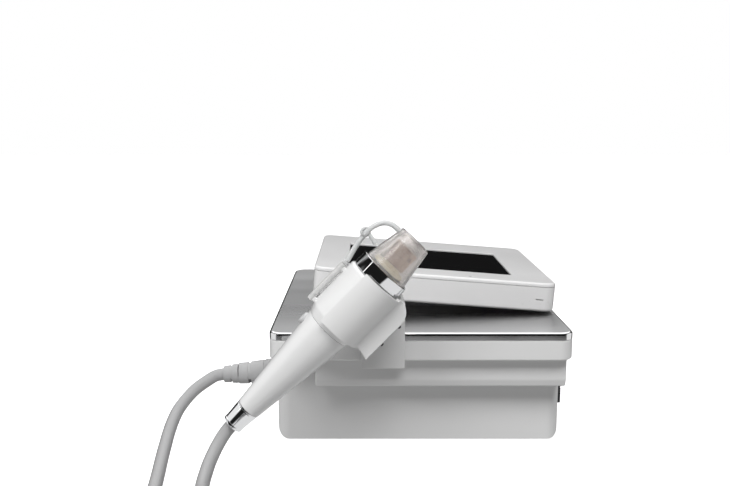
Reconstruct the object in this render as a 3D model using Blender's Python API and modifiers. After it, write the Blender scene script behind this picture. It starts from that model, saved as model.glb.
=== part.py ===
"""Desktop treatment console: a rimmed case with a tilting touch display on its lid and a corded
handpiece in a cradle on its side. Metres, +Z up, feet on z = 0. X runs from the rear panel (-X)
to the operator (+X), and the cradle is on the -Y side. The origin is under the middle of the
object's box, cord left out."""

import math

import bmesh
import bpy
import numpy as np
from mathutils import Matrix, Vector

GAP = 0.0003  # air left between two pieces that touch

# Case. The rim overhangs the lower housing on all sides.
CASE_X = 0.016
CASE_Y = 0.030
RIM_LENGTH = 0.260
RIM_DEPTH = 0.290
RIM_LOW = 0.0857
RIM_HIGH = 0.1030
LID_TOP = 0.1100
HOUSING_LENGTH = 0.253
HOUSING_DEPTH = 0.230
HOUSING_LOW = 0.0040
WALL = 0.0025
LID_THICK = 0.0020
FOOT_RADIUS = 0.008
FOOT_INSET = 0.030
RAIL_X = 0.0335
RAIL_LENGTH = 0.217
RAIL_OUT = 0.0197
RAIL_LOW = 0.0592
RAIL_CREASE = 0.0658
JACK_FACE_X = 0.1434
JACK_Y = -0.062
JACK_Z = 0.040
JACK_BORE = 0.00185

# Rear panel, inside an opening in the housing's -X wall, and what is fixed to it.
PANEL_OUTER_X = -0.1077
PANEL_THICK = 0.0015
PANEL_Z = 0.045
SOCKET_Y = -0.056
SOCKET_Z = 0.058
FAN_Y = 0.022
FAN_SIZE = 0.040
INLET_Y = 0.074
DRAWER_DROP = 0.0092
SWITCH_Y = 0.112
ROCKER_X = -0.1055
ROCKER_REST = math.radians(8)

# Display, in the frame of its hinge: x runs back from the hinge, z is the display's normal.
HINGE = Vector((0.1405, 0.0515, 0.1150))
DISPLAY_TILT = math.radians(4.3)
DISPLAY_LENGTH = 0.224
DISPLAY_DEPTH = 0.202
DISPLAY_FRONT_X = 0.0025
DISPLAY_LOW = -0.0035
DISPLAY_SEAM = 0.0195
DISPLAY_HIGH = 0.0235
SCREEN_LENGTH = 0.156
SCREEN_DEPTH = 0.121
SCREEN_X = -0.1125
SCREEN_Y = -0.0095
HINGE_RADIUS = 0.0034
HINGE_MIDDLE_LENGTH = 0.0332
HINGE_KNUCKLE_LENGTH = 0.0170

# Handpiece. Its own frame has z along the axis, from the lead's end to the tip, and -x to the back.
HANDPIECE_FOOT = Vector((-0.1400, -0.1500, 0.0432))
HANDPIECE_RISE = math.radians(45.73)
GRIP_LOW = 0.0197
GRIP_HIGH = 0.1133
GRIP_LOW_RADIUS = 0.01030
GRIP_HIGH_RADIUS = 0.0205
HEAD_RADIUS = 0.0240
HEAD_HIGH = 0.1663
RING_LOW = 0.1666
RING_HIGH = 0.1786
TIP_LOW = 0.1790
TIP_HIGH = 0.2116
TIP_LOW_RADIUS = 0.0195
TIP_HIGH_RADIUS = 0.0140
BUTTON_AT = 0.105
BUTTON_RADIUS = 0.0050
GUIDE_OUT = 0.0273
HOSE_RADIUS = 0.00215
HOSE_ROUTE = [
    (-0.0273, 0.0, 0.1626),
    (-0.0283, 0.0, 0.1668),
    (-0.0303, 0.0, 0.1746),
    (-0.0318, 0.0, 0.1836),
    (-0.0322, 0.0, 0.1910),
    (-0.0308, 0.0, 0.1985),
    (-0.0272, 0.0, 0.2046),
    (-0.0215, 0.0, 0.2078),
    (-0.0158, 0.0, 0.2082),
]

# Cradle: a C-shaped sleeve round the head, on a block that is screwed to a plate on the rim.
SLEEVE_LOW = 0.1180
SLEEVE_HIGH = 0.1689
SLEEVE_INNER = 0.0244
SLEEVE_OUTER = 0.0270
SLEEVE_LIP = 0.0234
SLEEVE_MOUTH = math.radians(126)
PLATE_FRONT_Y = -0.1183
CRADLE_SCREW_X = 0.0378
CRADLE_SCREW_Y = -0.0080

# Lead. Both of its ends are on the object, and its spare length lies coiled on the table.
LEAD_RADIUS = 0.0055
LEAD_POINT_SPACING = 0.011
COIL_X = -0.1270
COIL_Y = -0.3020
COIL_RADIUS = 0.060
COIL_HALF_WIDTH = 0.0113
COIL_LOW = 0.0016
COIL_HIGH = 0.0228
PLUG_DROOP = math.radians(3.4)
PLUG_LENGTH = 0.0490
PLUG_FACE_X = -0.1128
CONSOLE_LEG = [
    (-0.1618, -0.0560, 0.0551),
    (-0.1690, -0.0570, 0.0541),
    (-0.1775, -0.0617, 0.0500),
    (-0.1862, -0.0692, 0.0450),
    (-0.1925, -0.0796, 0.0396),
    (-0.1971, -0.0920, 0.0342),
    (-0.1990, -0.1060, 0.0291),
    (-0.1993, -0.1215, 0.0243),
    (-0.1985, -0.1380, 0.0201),
    (-0.1973, -0.1550, 0.0165),
    (-0.1955, -0.1730, 0.0134),
    (-0.1938, -0.1910, 0.0107),
    (-0.1928, -0.2100, 0.0082),
    (-0.1925, -0.2280, 0.0069),
    (-0.1925, -0.2450, 0.0066),
    (-0.1925, -0.2620, 0.0066),
]
HANDPIECE_LEG = [
    (-0.1360, -0.1500, 0.0473),
    (-0.1400, -0.1501, 0.0432),
    (-0.1448, -0.1508, 0.0378),
    (-0.1487, -0.1537, 0.0324),
    (-0.1518, -0.1587, 0.0273),
    (-0.1541, -0.1655, 0.0229),
    (-0.1556, -0.1742, 0.0193),
    (-0.1561, -0.1845, 0.0165),
    (-0.1560, -0.1955, 0.0147),
    (-0.1550, -0.2068, 0.0139),
    (-0.1522, -0.2178, 0.0145),
    (-0.1467, -0.2278, 0.0158),
]

parts = None
cutters = None


# ---------------------------------------------------------------- tools


def clear_scene():
    for leftover in list(bpy.data.objects):
        bpy.data.objects.remove(leftover, do_unlink=True)


def new_collection(name):
    made = bpy.data.collections.new(name)
    bpy.context.scene.collection.children.link(made)
    return made


def finish(name, colour, roughness, metallic=0.0, alpha=1.0):
    """One Principled material, made once for each name."""
    made = bpy.data.materials.get(name) or bpy.data.materials.new(name)
    made.use_nodes = True
    shader = made.node_tree.nodes["Principled BSDF"]
    shader.inputs["Base Color"].default_value = (*colour, 1.0)
    shader.inputs["Roughness"].default_value = roughness
    shader.inputs["Metallic"].default_value = metallic
    shader.inputs["Alpha"].default_value = alpha
    return made


def white_plastic():
    return finish("white_plastic", (0.80, 0.80, 0.80), 0.35)


def grey_plastic():
    return finish("grey_plastic", (0.45, 0.46, 0.47), 0.45)


def black_plastic():
    return finish("black_plastic", (0.03, 0.03, 0.03), 0.45)


def satin_metal():
    return finish("satin_metal", (0.62, 0.62, 0.62), 0.30, 1.0)


def chrome():
    return finish("chrome", (0.85, 0.85, 0.86), 0.06, 1.0)


def steel():
    return finish("steel", (0.50, 0.50, 0.51), 0.40, 1.0)


def rubber():
    return finish("rubber", (0.04, 0.04, 0.04), 0.75)


def board_green():
    return finish("board_green", (0.03, 0.22, 0.10), 0.50)


def smoky_clear():
    return finish("smoky_clear", (0.70, 0.66, 0.62), 0.10, 0.0, 0.35)


def bronze():
    return finish("bronze", (0.42, 0.31, 0.23), 0.35, 1.0)


def empty_at(name, location, turn_about_y=0.0):
    made = bpy.data.objects.new(name, None)
    made.location = location
    made.rotation_euler = (0.0, turn_about_y, 0.0)
    parts.objects.link(made)
    return made


def add(name, mesh, material, at=(0, 0, 0), parent=None, turn=(0, 0, 0)):
    """An object for a mesh. With no material it's a cutter or a piece to be joined to another."""
    made = bpy.data.objects.new(name, mesh)
    made.location = at
    made.rotation_euler = turn
    made.parent = parent
    if material is None:
        cutters.objects.link(made)
        made.hide_render = True
        made.display_type = "WIRE"
    else:
        parts.objects.link(made)
        mesh.materials.append(material)
    return made


def mesh_of(name, bm):
    mesh = bpy.data.meshes.new(name)
    bm.to_mesh(mesh)
    bm.free()
    mesh.shade_smooth()
    mesh.set_sharp_from_angle(angle=math.radians(32))
    return mesh


def bevel_edges(bm, edges, width, segments):
    bmesh.ops.bevel(
        bm,
        geom=edges,
        offset=width,
        offset_type="OFFSET",
        segments=segments,
        profile=0.5,
        affect="EDGES",
        clamp_overlap=True,
    )


def block(name, size, material, at, parent=None, corner=0.0, low=0.0, high=0.0, segments=3, turn=(0, 0, 0)):
    """A box. corner rounds its upright edges, low and high those round its floor and its top."""
    bm = bmesh.new()
    bmesh.ops.create_cube(bm, size=1.0)
    bmesh.ops.scale(bm, vec=size, verts=bm.verts)
    half = size[2] / 2
    if corner:
        upright = [e for e in bm.edges if abs(e.verts[0].co.z - e.verts[1].co.z) > half]
        bevel_edges(bm, upright, corner, segments)
    for width, level in ((low, -half), (high, half)):
        if width:
            ring = [e for e in bm.edges if all(abs(v.co.z - level) < 1e-6 for v in e.verts)]
            bevel_edges(bm, ring, width, segments)
    return add(name, mesh_of(name, bm), material, at, parent, turn)


def turned(name, profile, material, parent=None, at=(0, 0, 0), turn=(0, 0, 0), steps=24, ring=False):
    """A turned piece from (radius, height) points, down its outer side. A ring's profile closes."""
    bm = bmesh.new()
    points = [bm.verts.new((radius, 0.0, height)) for radius, height in profile]
    for first, second in zip(points, points[1:]):
        bm.edges.new((first, second))
    if ring:
        bm.edges.new((points[-1], points[0]))
    made = add(name, mesh_of(name, bm), material, at, parent, turn)
    screw = made.modifiers.new("turn", "SCREW")
    screw.axis = "Z"
    screw.angle = 2 * math.pi
    screw.steps = steps
    screw.render_steps = steps
    screw.use_merge_vertices = True
    screw.merge_threshold = 0.00001
    screw.use_smooth_shade = True
    return made


def rod(name, radius, length, material, at, parent=None, turn=(0, 0, 0), steps=16):
    """A plain cylinder, centred on its place, along its own z."""
    half = length / 2
    profile = [(0.0, half), (radius, half), (radius, -half), (0.0, -half)]
    return turned(name, profile, material, parent, at, turn, steps)


def slab(name, outline, thickness, material, at, parent=None):
    """A flat piece: an (x, z) outline, thickness along y."""
    curve = bpy.data.curves.new(name, "CURVE")
    curve.dimensions = "2D"
    curve.fill_mode = "BOTH"
    curve.extrude = thickness / 2
    spline = curve.splines.new("POLY")
    spline.points.add(len(outline) - 1)
    for point, (x, z) in zip(spline.points, outline):
        point.co = (x, z, 0.0, 1.0)
    spline.use_cyclic_u = True
    flat = bpy.data.objects.new(name, curve)
    parts.objects.link(flat)
    graph = bpy.context.evaluated_depsgraph_get()
    mesh = bpy.data.meshes.new_from_object(flat.evaluated_get(graph))
    bpy.data.objects.remove(flat)
    bm = bmesh.new()
    bm.from_mesh(mesh)
    bpy.data.meshes.remove(mesh)
    bmesh.ops.remove_doubles(bm, verts=bm.verts, dist=1e-6)
    bmesh.ops.rotate(bm, cent=(0, 0, 0), matrix=Matrix.Rotation(math.pi / 2, 3, "X"), verts=bm.verts)
    bmesh.ops.recalc_face_normals(bm, faces=bm.faces)
    return add(name, mesh_of(name, bm), material, at, parent)


def tube(name, points, radius, material, parent=None, resolution=4):
    curve = bpy.data.curves.new(name, "CURVE")
    curve.dimensions = "3D"
    curve.bevel_depth = radius
    curve.bevel_resolution = resolution
    curve.use_fill_caps = True
    curve.resolution_u = 1
    spline = curve.splines.new("POLY")
    spline.points.add(len(points) - 1)
    for point, place in zip(spline.points, points):
        point.co = (*place, 1.0)
    curve.materials.append(material)
    made = bpy.data.objects.new(name, curve)
    made.parent = parent
    parts.objects.link(made)
    return made


def boolean(target, operation, others):
    for other in others:
        step = target.modifiers.new(other.name, "BOOLEAN")
        step.operation = operation
        step.object = other
        step.solver = "EXACT"


def cut(target, *others):
    boolean(target, "DIFFERENCE", others)


def join(target, *others):
    boolean(target, "UNION", others)


def smooth_route(points, spacing):
    """Evenly spaced points on the smooth curve through the given ones."""
    given = np.array(points, float)
    steps = np.linalg.norm(np.diff(given, axis=0), axis=1)
    along = np.concatenate([[0.0], np.cumsum(steps)])
    slope = np.gradient(given, along, axis=0)
    fine = []
    for i, length in enumerate(steps):
        for t in np.linspace(0.0, 1.0, 24, endpoint=False):
            fine.append(
                (2 * t**3 - 3 * t**2 + 1) * given[i]
                + (t**3 - 2 * t**2 + t) * length * slope[i]
                + (3 * t**2 - 2 * t**3) * given[i + 1]
                + (t**3 - t**2) * length * slope[i + 1]
            )
    fine = np.array(fine + [given[-1]])
    run = np.concatenate([[0.0], np.cumsum(np.linalg.norm(np.diff(fine, axis=0), axis=1))])
    at = np.linspace(0.0, run[-1], max(2, round(run[-1] / spacing) + 1))
    return [tuple(np.interp(s, run, fine[:, k]) for k in range(3)) for s in at]


# ---------------------------------------------------------------- case


def build_case():
    white = white_plastic()
    middle_z = (HOUSING_LOW + RIM_LOW - GAP) / 2
    height = RIM_LOW - GAP - HOUSING_LOW

    housing = block(
        "lower_housing", (HOUSING_LENGTH, HOUSING_DEPTH, height), white, (CASE_X, CASE_Y, middle_z),
        corner=0.012, low=0.009, segments=4,
    )
    cut(
        housing,
        block(
            "housing_hollow", (HOUSING_LENGTH - 2 * WALL, HOUSING_DEPTH - 2 * WALL, height),
            None, (CASE_X, CASE_Y, middle_z + WALL), corner=0.0095, low=0.0065, segments=4,
        ),
        block("panel_opening", (0.008, 0.200, 0.058), None, (PANEL_OUTER_X - 0.001, CASE_Y, PANEL_Z)),
        rod("jack_hole", 0.0053, 0.010, None, (0.1415, JACK_Y, JACK_Z), turn=(0, math.pi / 2, 0)),
    )

    rim_z = (RIM_LOW + RIM_HIGH) / 2
    rim_height = RIM_HIGH - RIM_LOW
    rim = block(
        "rim_frame", (RIM_LENGTH, RIM_DEPTH, rim_height), white, (CASE_X, CASE_Y, rim_z),
        corner=0.012, low=0.0015, segments=4,
    )
    cut(
        rim,
        block(
            "rim_hollow", (RIM_LENGTH - 2 * WALL, RIM_DEPTH - 2 * WALL, rim_height),
            None, (CASE_X, CASE_Y, rim_z + WALL), corner=0.0095,
        ),
        block("rim_opening", (0.240, 0.217, 0.030), None, (CASE_X, CASE_Y, RIM_LOW), corner=0.008),
    )

    lid_low = RIM_HIGH + GAP
    lid_z = (lid_low + LID_TOP) / 2
    lid = block(
        "top_plate", (RIM_LENGTH, RIM_DEPTH, LID_TOP - lid_low), satin_metal(), (CASE_X, CASE_Y, lid_z),
        corner=0.012, high=0.0025, segments=4,
    )
    cut(
        lid,
        block(
            "lid_hollow", (RIM_LENGTH - 2 * LID_THICK, RIM_DEPTH - 2 * LID_THICK, LID_TOP - lid_low),
            None, (CASE_X, CASE_Y, lid_z - LID_THICK), corner=0.0100,
        ),
    )

    # A grip rail along each long side, under the rim's overhang. Its lower edge slopes inwards.
    rail_top = RIM_LOW - GAP
    for name, side in (("grip_rail_near", -1), ("grip_rail_far", 1)):
        outline = [
            (0.0, rail_top), (0.0, RAIL_LOW), (side * (RAIL_OUT - 0.0022), RAIL_LOW),
            (side * RAIL_OUT, RAIL_CREASE), (side * RAIL_OUT, rail_top),
        ]
        face_y = CASE_Y + side * (HOUSING_DEPTH / 2 + GAP)
        rail = slab(name, outline, RAIL_LENGTH, white, (RAIL_X, face_y, 0.0))
        rail.rotation_euler = (0, 0, math.pi / 2)

    spread_x = HOUSING_LENGTH / 2 - FOOT_INSET
    spread_y = HOUSING_DEPTH / 2 - FOOT_INSET
    places = {
        "foot_rear_near": (-1, -1), "foot_rear_far": (-1, 1),
        "foot_front_near": (1, -1), "foot_front_far": (1, 1),
    }
    foot_top = HOUSING_LOW - GAP
    profile = [
        (0.0, foot_top), (FOOT_RADIUS + 0.001, foot_top), (FOOT_RADIUS, 0.0006),
        (FOOT_RADIUS - 0.001, 0.0), (0.0, 0.0),
    ]
    for name, (x, y) in places.items():
        turned(name, profile, rubber(), at=(CASE_X + x * spread_x, CASE_Y + y * spread_y, 0.0), steps=20)


def build_pedal_port():
    """A jack in the operator's end for a foot pedal, and the rubber flap that hangs over it."""
    turned(
        "pedal_jack",
        [
            (0.0, -0.0090), (JACK_BORE, -0.0090), (JACK_BORE, 0.0), (0.0050, 0.0),
            (0.0050, -0.0115), (0.0, -0.0115),
        ],
        steel(), at=(JACK_FACE_X, JACK_Y, JACK_Z), turn=(0, math.pi / 2, 0), steps=16,
    )
    block(
        "port_flap", (0.0026, 0.0130, 0.0170), rubber(),
        (JACK_FACE_X + GAP + 0.0013, JACK_Y, JACK_Z + 0.0005), corner=0.0008, segments=1,
    )


# ---------------------------------------------------------------- rear panel


def build_rear_panel():
    """The steel panel at the rear, with the handpiece's socket, the fan, the mains inlet and switch."""
    out = (0, -math.pi / 2, 0)
    panel_x = PANEL_OUTER_X + PANEL_THICK / 2
    panel = block("rear_panel", (PANEL_THICK, 0.206, 0.066), satin_metal(), (panel_x, CASE_Y, PANEL_Z))
    cut(
        panel,
        rod("socket_hole", 0.0080, 0.010, None, (panel_x, SOCKET_Y, SOCKET_Z), turn=out, steps=24),
        rod("fan_hole", 0.0180, 0.010, None, (panel_x, FAN_Y, PANEL_Z), turn=out, steps=32),
        block("inlet_hole", (0.010, 0.0276, 0.0306), None, (panel_x, INLET_Y, PANEL_Z)),
        block("switch_hole", (0.010, 0.0130, 0.0190), None, (panel_x, SWITCH_Y, PANEL_Z)),
    )

    # The socket that takes the lead's plug: a collar outside and a barrel inside.
    turned(
        "lead_socket",
        [
            (0.0, 0.0010), (0.0062, 0.0010), (0.0062, 0.0047), (0.0098, 0.0047), (0.0098, GAP),
            (0.0077, GAP), (0.0077, -0.0100), (0.0, -0.0100),
        ],
        steel(), at=(PANEL_OUTER_X, SOCKET_Y, SOCKET_Z), turn=out, steps=24,
    )

    # Fan: guard outside the panel, frame inside it, and a rotor that turns on the frame's hub.
    guard = block(
        "fan_guard", (0.0012, 0.042, 0.042), satin_metal(), (PANEL_OUTER_X - GAP - 0.0006, FAN_Y, PANEL_Z),
    )
    slots = []
    for i in range(-3, 4):
        height = 0.0052 * i
        width = 2 * math.sqrt(0.0175**2 - height**2)
        place = (PANEL_OUTER_X - 0.001, FAN_Y, PANEL_Z + height)
        slots.append(block(f"guard_slot_{i + 4}", (0.006, width, 0.0034), None, place))
    cut(guard, *slots)

    frame_x = PANEL_OUTER_X + PANEL_THICK + GAP + 0.005
    frame = block("fan_frame", (0.010, FAN_SIZE, FAN_SIZE), black_plastic(), (frame_x, FAN_Y, PANEL_Z))
    cut(frame, rod("fan_bore", 0.0187, 0.012, None, (frame_x, FAN_Y, PANEL_Z), turn=out, steps=32))
    join(frame, rod("fan_motor", 0.0085, 0.0016, None, (frame_x + 0.0042, FAN_Y, PANEL_Z), turn=out))
    for i in range(3):
        turn = i * 2 * math.pi / 3
        place = (
            frame_x + 0.0042, FAN_Y + 0.0137 * math.sin(turn), PANEL_Z + 0.0137 * math.cos(turn),
        )
        strut = block(f"fan_strut_{i + 1}", (0.0014, 0.0022, 0.0130), None, place, turn=(-turn, 0, 0))
        join(frame, strut)

    rotor = rod("fan_rotor", 0.0080, 0.0070, black_plastic(), (frame_x - 0.0008, FAN_Y, PANEL_Z), turn=out)
    for i in range(5):
        around = Matrix.Rotation(i * 2 * math.pi / 5, 4, "X")
        twist = Matrix.Rotation(math.radians(38), 4, "Z")
        blade = block(f"fan_blade_{i + 1}", (0.0010, 0.0088, 0.0102), None, (0, 0, 0))
        blade.matrix_world = (
            Matrix.Translation(rotor.location) @ around @ Matrix.Translation((0, 0, 0.0125)) @ twist
        )
        join(rotor, blade)

    # Mains inlet with its three pins, and the fuse drawer below them in the same moulding.
    flange_x = PANEL_OUTER_X - GAP - 0.0008
    inlet = block("mains_inlet", (0.0016, 0.0310, 0.0350), black_plastic(), (flange_x, INLET_Y, PANEL_Z))
    join(inlet, block("inlet_body", (0.0180, 0.0270, 0.0300), None, (flange_x + 0.0086, INLET_Y, PANEL_Z)))
    pin_z = PANEL_Z + 0.0050
    cut(
        inlet,
        block("plug_well", (0.0150, 0.0236, 0.0160), None, (flange_x + 0.0060, INLET_Y, pin_z)),
        block(
            "drawer_slot", (0.0220, 0.0212, 0.0068), None,
            (flange_x + 0.0050, INLET_Y, PANEL_Z - DRAWER_DROP),
        ),
    )
    for i, (y, z) in enumerate(((-0.007, -0.002), (0.0, 0.002), (0.007, -0.002))):
        place = (flange_x + 0.0086, INLET_Y + y, pin_z + z)
        join(inlet, block(f"mains_pin_{i + 1}", (0.0125, 0.0020, 0.0045), None, place))
    block(
        "fuse_drawer", (0.0150, 0.0204, 0.0060), grey_plastic(),
        (flange_x + 0.0052, INLET_Y, PANEL_Z - DRAWER_DROP),
    )

    bezel = block("switch_bezel", (0.0016, 0.0150, 0.0210), black_plastic(), (flange_x, SWITCH_Y, PANEL_Z))
    join(bezel, block("switch_body", (0.0130, 0.0124, 0.0184), None, (flange_x + 0.0060, SWITCH_Y, PANEL_Z)))
    cut(bezel, block("switch_well", (0.0130, 0.0100, 0.0164), None, (flange_x + 0.0035, SWITCH_Y, PANEL_Z)))
    block(
        "power_rocker", (0.0070, 0.0092, 0.0144), black_plastic(), (ROCKER_X, SWITCH_Y, PANEL_Z),
        turn=(0, ROCKER_REST, 0),
    )


# ---------------------------------------------------------------- inside the case


def build_inside():
    """What makes the drive: a supply, a generator board, its output transformer and a heat sink."""
    floor = HOUSING_LOW + WALL + GAP
    plate_top = floor + 0.0015
    chassis = block(
        "chassis_plate", (0.216, 0.196, 0.0015), satin_metal(), (CASE_X + 0.004, CASE_Y, floor + 0.00075),
    )
    board_x = 0.072
    board_y = -0.014
    for i, (x, y) in enumerate(((-1, -1), (-1, 1), (1, -1), (1, 1))):
        place = (board_x + x * 0.045, board_y + y * 0.035, plate_top + 0.0029)
        join(chassis, rod(f"standoff_{i + 1}", 0.003, 0.0062, None, place, steps=12))

    block("power_supply", (0.100, 0.056, 0.034), satin_metal(), (0.070, 0.088, plate_top + GAP + 0.017))

    board_z = plate_top + 0.0060 + GAP + 0.0008
    board = block("generator_board", (0.106, 0.086, 0.0016), board_green(), (board_x, board_y, board_z))
    heights = {
        "capacitor": (-0.032, -0.022, 0.016, 0.016, 0.020), "relay": (-0.030, 0.012, 0.018, 0.015, 0.013),
        "processor": (0.006, 0.006, 0.020, 0.020, 0.003), "connector": (0.030, -0.030, 0.030, 0.008, 0.010),
        "choke": (0.034, 0.018, 0.018, 0.022, 0.014),
    }
    for name, (x, y, length, depth, height) in heights.items():
        place = (board_x + x, board_y + y, board_z + height / 2)
        join(board, block(name, (length, depth, height), None, place))

    turned(
        "output_transformer",
        [
            (0.0200, 0.0180), (0.0225, 0.0150), (0.0225, 0.0030), (0.0200, 0.0), (0.0110, 0.0),
            (0.0085, 0.0030), (0.0085, 0.0150), (0.0110, 0.0180),
        ],
        finish("copper_winding", (0.50, 0.22, 0.08), 0.45, 0.6),
        at=(-0.030, -0.022, plate_top + GAP), steps=20, ring=True,
    )

    sink_z = plate_top + GAP + 0.0150
    sink = block("heat_sink", (0.050, 0.040, 0.030), satin_metal(), (-0.045, 0.040, sink_z))
    for i in range(5):
        y = 0.040 + (i - 2) * 0.0074
        cut(sink, block(f"fin_gap_{i + 1}", (0.060, 0.0042, 0.024), None, (-0.045, y, sink_z + 0.0060)))


# ---------------------------------------------------------------- display


def build_display():
    """A touch display on a friction hinge along its lower edge, standing a little open."""
    white = white_plastic()
    pivot = empty_at("display_pivot", HINGE, DISPLAY_TILT)
    middle_x = DISPLAY_FRONT_X - DISPLAY_LENGTH / 2

    shell_height = DISPLAY_SEAM - DISPLAY_LOW
    shell_z = (DISPLAY_SEAM + DISPLAY_LOW) / 2
    shell = block(
        "display_back_shell", (DISPLAY_LENGTH, DISPLAY_DEPTH, shell_height), white,
        (middle_x, 0, shell_z), pivot, corner=0.010, low=0.003,
    )
    wall = 0.0022
    deep_length = DISPLAY_LENGTH - wall - 0.0200
    cut(
        shell,
        block(
            "shell_hollow", (deep_length, DISPLAY_DEPTH - 2 * wall, shell_height), None,
            (DISPLAY_FRONT_X - 0.0200 - deep_length / 2, 0, shell_z + wall), pivot, corner=0.004,
        ),
        block(
            "shell_hollow_front", (0.030, DISPLAY_DEPTH - 2 * wall - 0.002, 0.020), None,
            (DISPLAY_FRONT_X - wall - 0.0150, 0, 0.0065 + 0.010), pivot, corner=0.004,
        ),
        block("hinge_notch", (0.0200, 0.0710, 0.0100), None, (-0.0045, 0, -0.0008), pivot),
    )

    frame_height = DISPLAY_HIGH - DISPLAY_SEAM - GAP
    frame_z = DISPLAY_HIGH - frame_height / 2
    frame = block(
        "display_front_frame", (DISPLAY_LENGTH, DISPLAY_DEPTH, frame_height), white,
        (middle_x, 0, frame_z), pivot, corner=0.010, high=0.0020,
    )
    cut(
        frame,
        block(
            "screen_window", (SCREEN_LENGTH, SCREEN_DEPTH, 0.020), None,
            (SCREEN_X, SCREEN_Y, frame_z), pivot,
        ),
    )
    glass_thick = 0.0027
    block(
        "screen_glass", (SCREEN_LENGTH - 2 * GAP, SCREEN_DEPTH - 2 * GAP, glass_thick),
        finish("screen_black", (0.005, 0.005, 0.006), 0.05),
        (SCREEN_X, SCREEN_Y, DISPLAY_SEAM + GAP + glass_thick / 2), pivot,
    )
    block(
        "lcd_panel", (SCREEN_LENGTH + 0.010, SCREEN_DEPTH + 0.010, 0.0030), satin_metal(),
        (SCREEN_X, SCREEN_Y, DISPLAY_SEAM - 0.0015), pivot,
    )
    board = block("display_board", (0.140, 0.100, 0.0016), board_green(), (SCREEN_X, 0, 0.0040), pivot)
    join(
        board,
        block("display_chip", (0.024, 0.024, 0.0040), None, (SCREEN_X, 0, 0.0060), pivot),
        block("display_plug", (0.008, 0.040, 0.0060), None, (SCREEN_X + 0.055, 0.010, 0.0070), pivot),
    )
    block("display_rest_pad", (0.006, 0.120, 0.0009), rubber(), (-0.2050, 0, -0.00425), pivot)

    # Hinge: two knuckles on the lid, one on the display between them, and a pin through all three.
    across = (math.pi / 2, 0, 0)
    lid_top = LID_TOP - HINGE.z + GAP
    hinge_base = block(
        "hinge_base", (0.0120, 0.0680, 0.0012), steel(), HINGE + Vector((-0.0100, 0, lid_top + 0.0006)),
    )
    for i, side in enumerate((-1, 1)):
        middle = side * (HINGE_MIDDLE_LENGTH / 2 + GAP + HINGE_KNUCKLE_LENGTH / 2)
        gusset_height = -lid_top - 0.0006
        join(
            hinge_base,
            rod(f"base_knuckle_{i + 1}", HINGE_RADIUS, HINGE_KNUCKLE_LENGTH, None,
                HINGE + Vector((0, middle, 0)), turn=across),
            block(f"base_gusset_{i + 1}", (0.0054, HINGE_KNUCKLE_LENGTH - 0.0006, gusset_height), None,
                  HINGE + Vector((-0.0034, middle, -gusset_height / 2 - 0.0001))),
        )
    cut(hinge_base, rod("base_pin_hole", 0.0018, 0.090, None, HINGE, turn=across))

    arm = rod("hinge_arm", HINGE_RADIUS, HINGE_MIDDLE_LENGTH, steel(), (0, 0, 0), pivot, across)
    join(arm, block("hinge_leaf", (0.0130, HINGE_MIDDLE_LENGTH, 0.0016), None, (-0.0070, 0, 0.0024), pivot))
    cut(arm, rod("arm_pin_hole", 0.0018, 0.090, None, (0, 0, 0), pivot, across))
    rod("hinge_pin", 0.0015, 0.0670, steel(), HINGE, turn=across, steps=12)


# ---------------------------------------------------------------- cradle


def build_cradle():
    """The C-shaped sleeve that holds the handpiece, its block, and the plate on the rim."""
    white = white_plastic()
    axis = empty_at("cradle_axis", HANDPIECE_FOOT, math.pi / 2 - HANDPIECE_RISE)

    block(
        "cradle_plate", (0.037, 0.003, 0.057), white, (-0.0169, PLATE_FRONT_Y + 0.0015, 0.1085),
    )

    cradle = turned(
        "cradle_sleeve",
        [(0.0, SLEEVE_HIGH), (SLEEVE_OUTER, SLEEVE_HIGH), (SLEEVE_OUTER, SLEEVE_LOW), (0.0, SLEEVE_LOW)],
        white, axis, steps=64,
    )
    block_back = PLATE_FRONT_Y - GAP - HANDPIECE_FOOT.y
    block_front = -0.0115
    outline = [
        (0.0180, 0.1705), (0.0270, 0.1703), (0.0310, 0.1688), (0.0342, 0.1660), (0.0368, 0.1620),
        (0.0372, 0.1570), (0.0377, 0.1172), (0.0332, 0.1188), (0.0280, 0.1196), (0.0180, 0.1200),
    ]
    block_middle = (block_back + block_front) / 2
    foot = slab("cradle_block", outline, block_back - block_front, None, (0, block_middle, 0), axis)
    join(cradle, foot)
    bore = turned(
        "cradle_bore",
        [
            (0.0, SLEEVE_HIGH + 0.01), (SLEEVE_INNER, SLEEVE_HIGH + 0.01),
            (SLEEVE_INNER, SLEEVE_LOW + 0.0017), (SLEEVE_LIP, SLEEVE_LOW + 0.0017),
            (SLEEVE_LIP, SLEEVE_LOW - 0.01), (0.0, SLEEVE_LOW - 0.01),
        ],
        None, axis, steps=64,
    )
    reach = 0.040
    spread = reach * math.tan(SLEEVE_MOUTH / 2)
    mouth_height = SLEEVE_HIGH - SLEEVE_LOW + 0.02
    mouth = slab("cradle_mouth", [(0.0, 0.0), (-reach, spread), (-reach, -spread)], mouth_height, None,
                 (0, 0, (SLEEVE_HIGH + SLEEVE_LOW) / 2), axis)
    mouth.rotation_euler = (math.pi / 2, 0, 0)
    cut(cradle, bore, mouth)

    # Two screws in the block's lower face.
    sideways = (0, math.pi / 2, 0)
    for i, height in enumerate((0.1347, 0.1544)):
        place = (CRADLE_SCREW_X, CRADLE_SCREW_Y, height)
        turned(
            f"cradle_screw_{i + 1}",
            [(0.0, 0.0011), (0.0013, 0.0011), (0.0016, 0.0004), (0.0016, 0.0), (0.0008, 0.0),
             (0.0008, -0.0060), (0.0, -0.0060)],
            steel(), axis, place, sideways, steps=12,
        )
        cut(cradle, rod(f"screw_hole_{i + 1}", 0.0011, 0.0140, None, place, axis, sideways, 12))


# ---------------------------------------------------------------- handpiece


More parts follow.
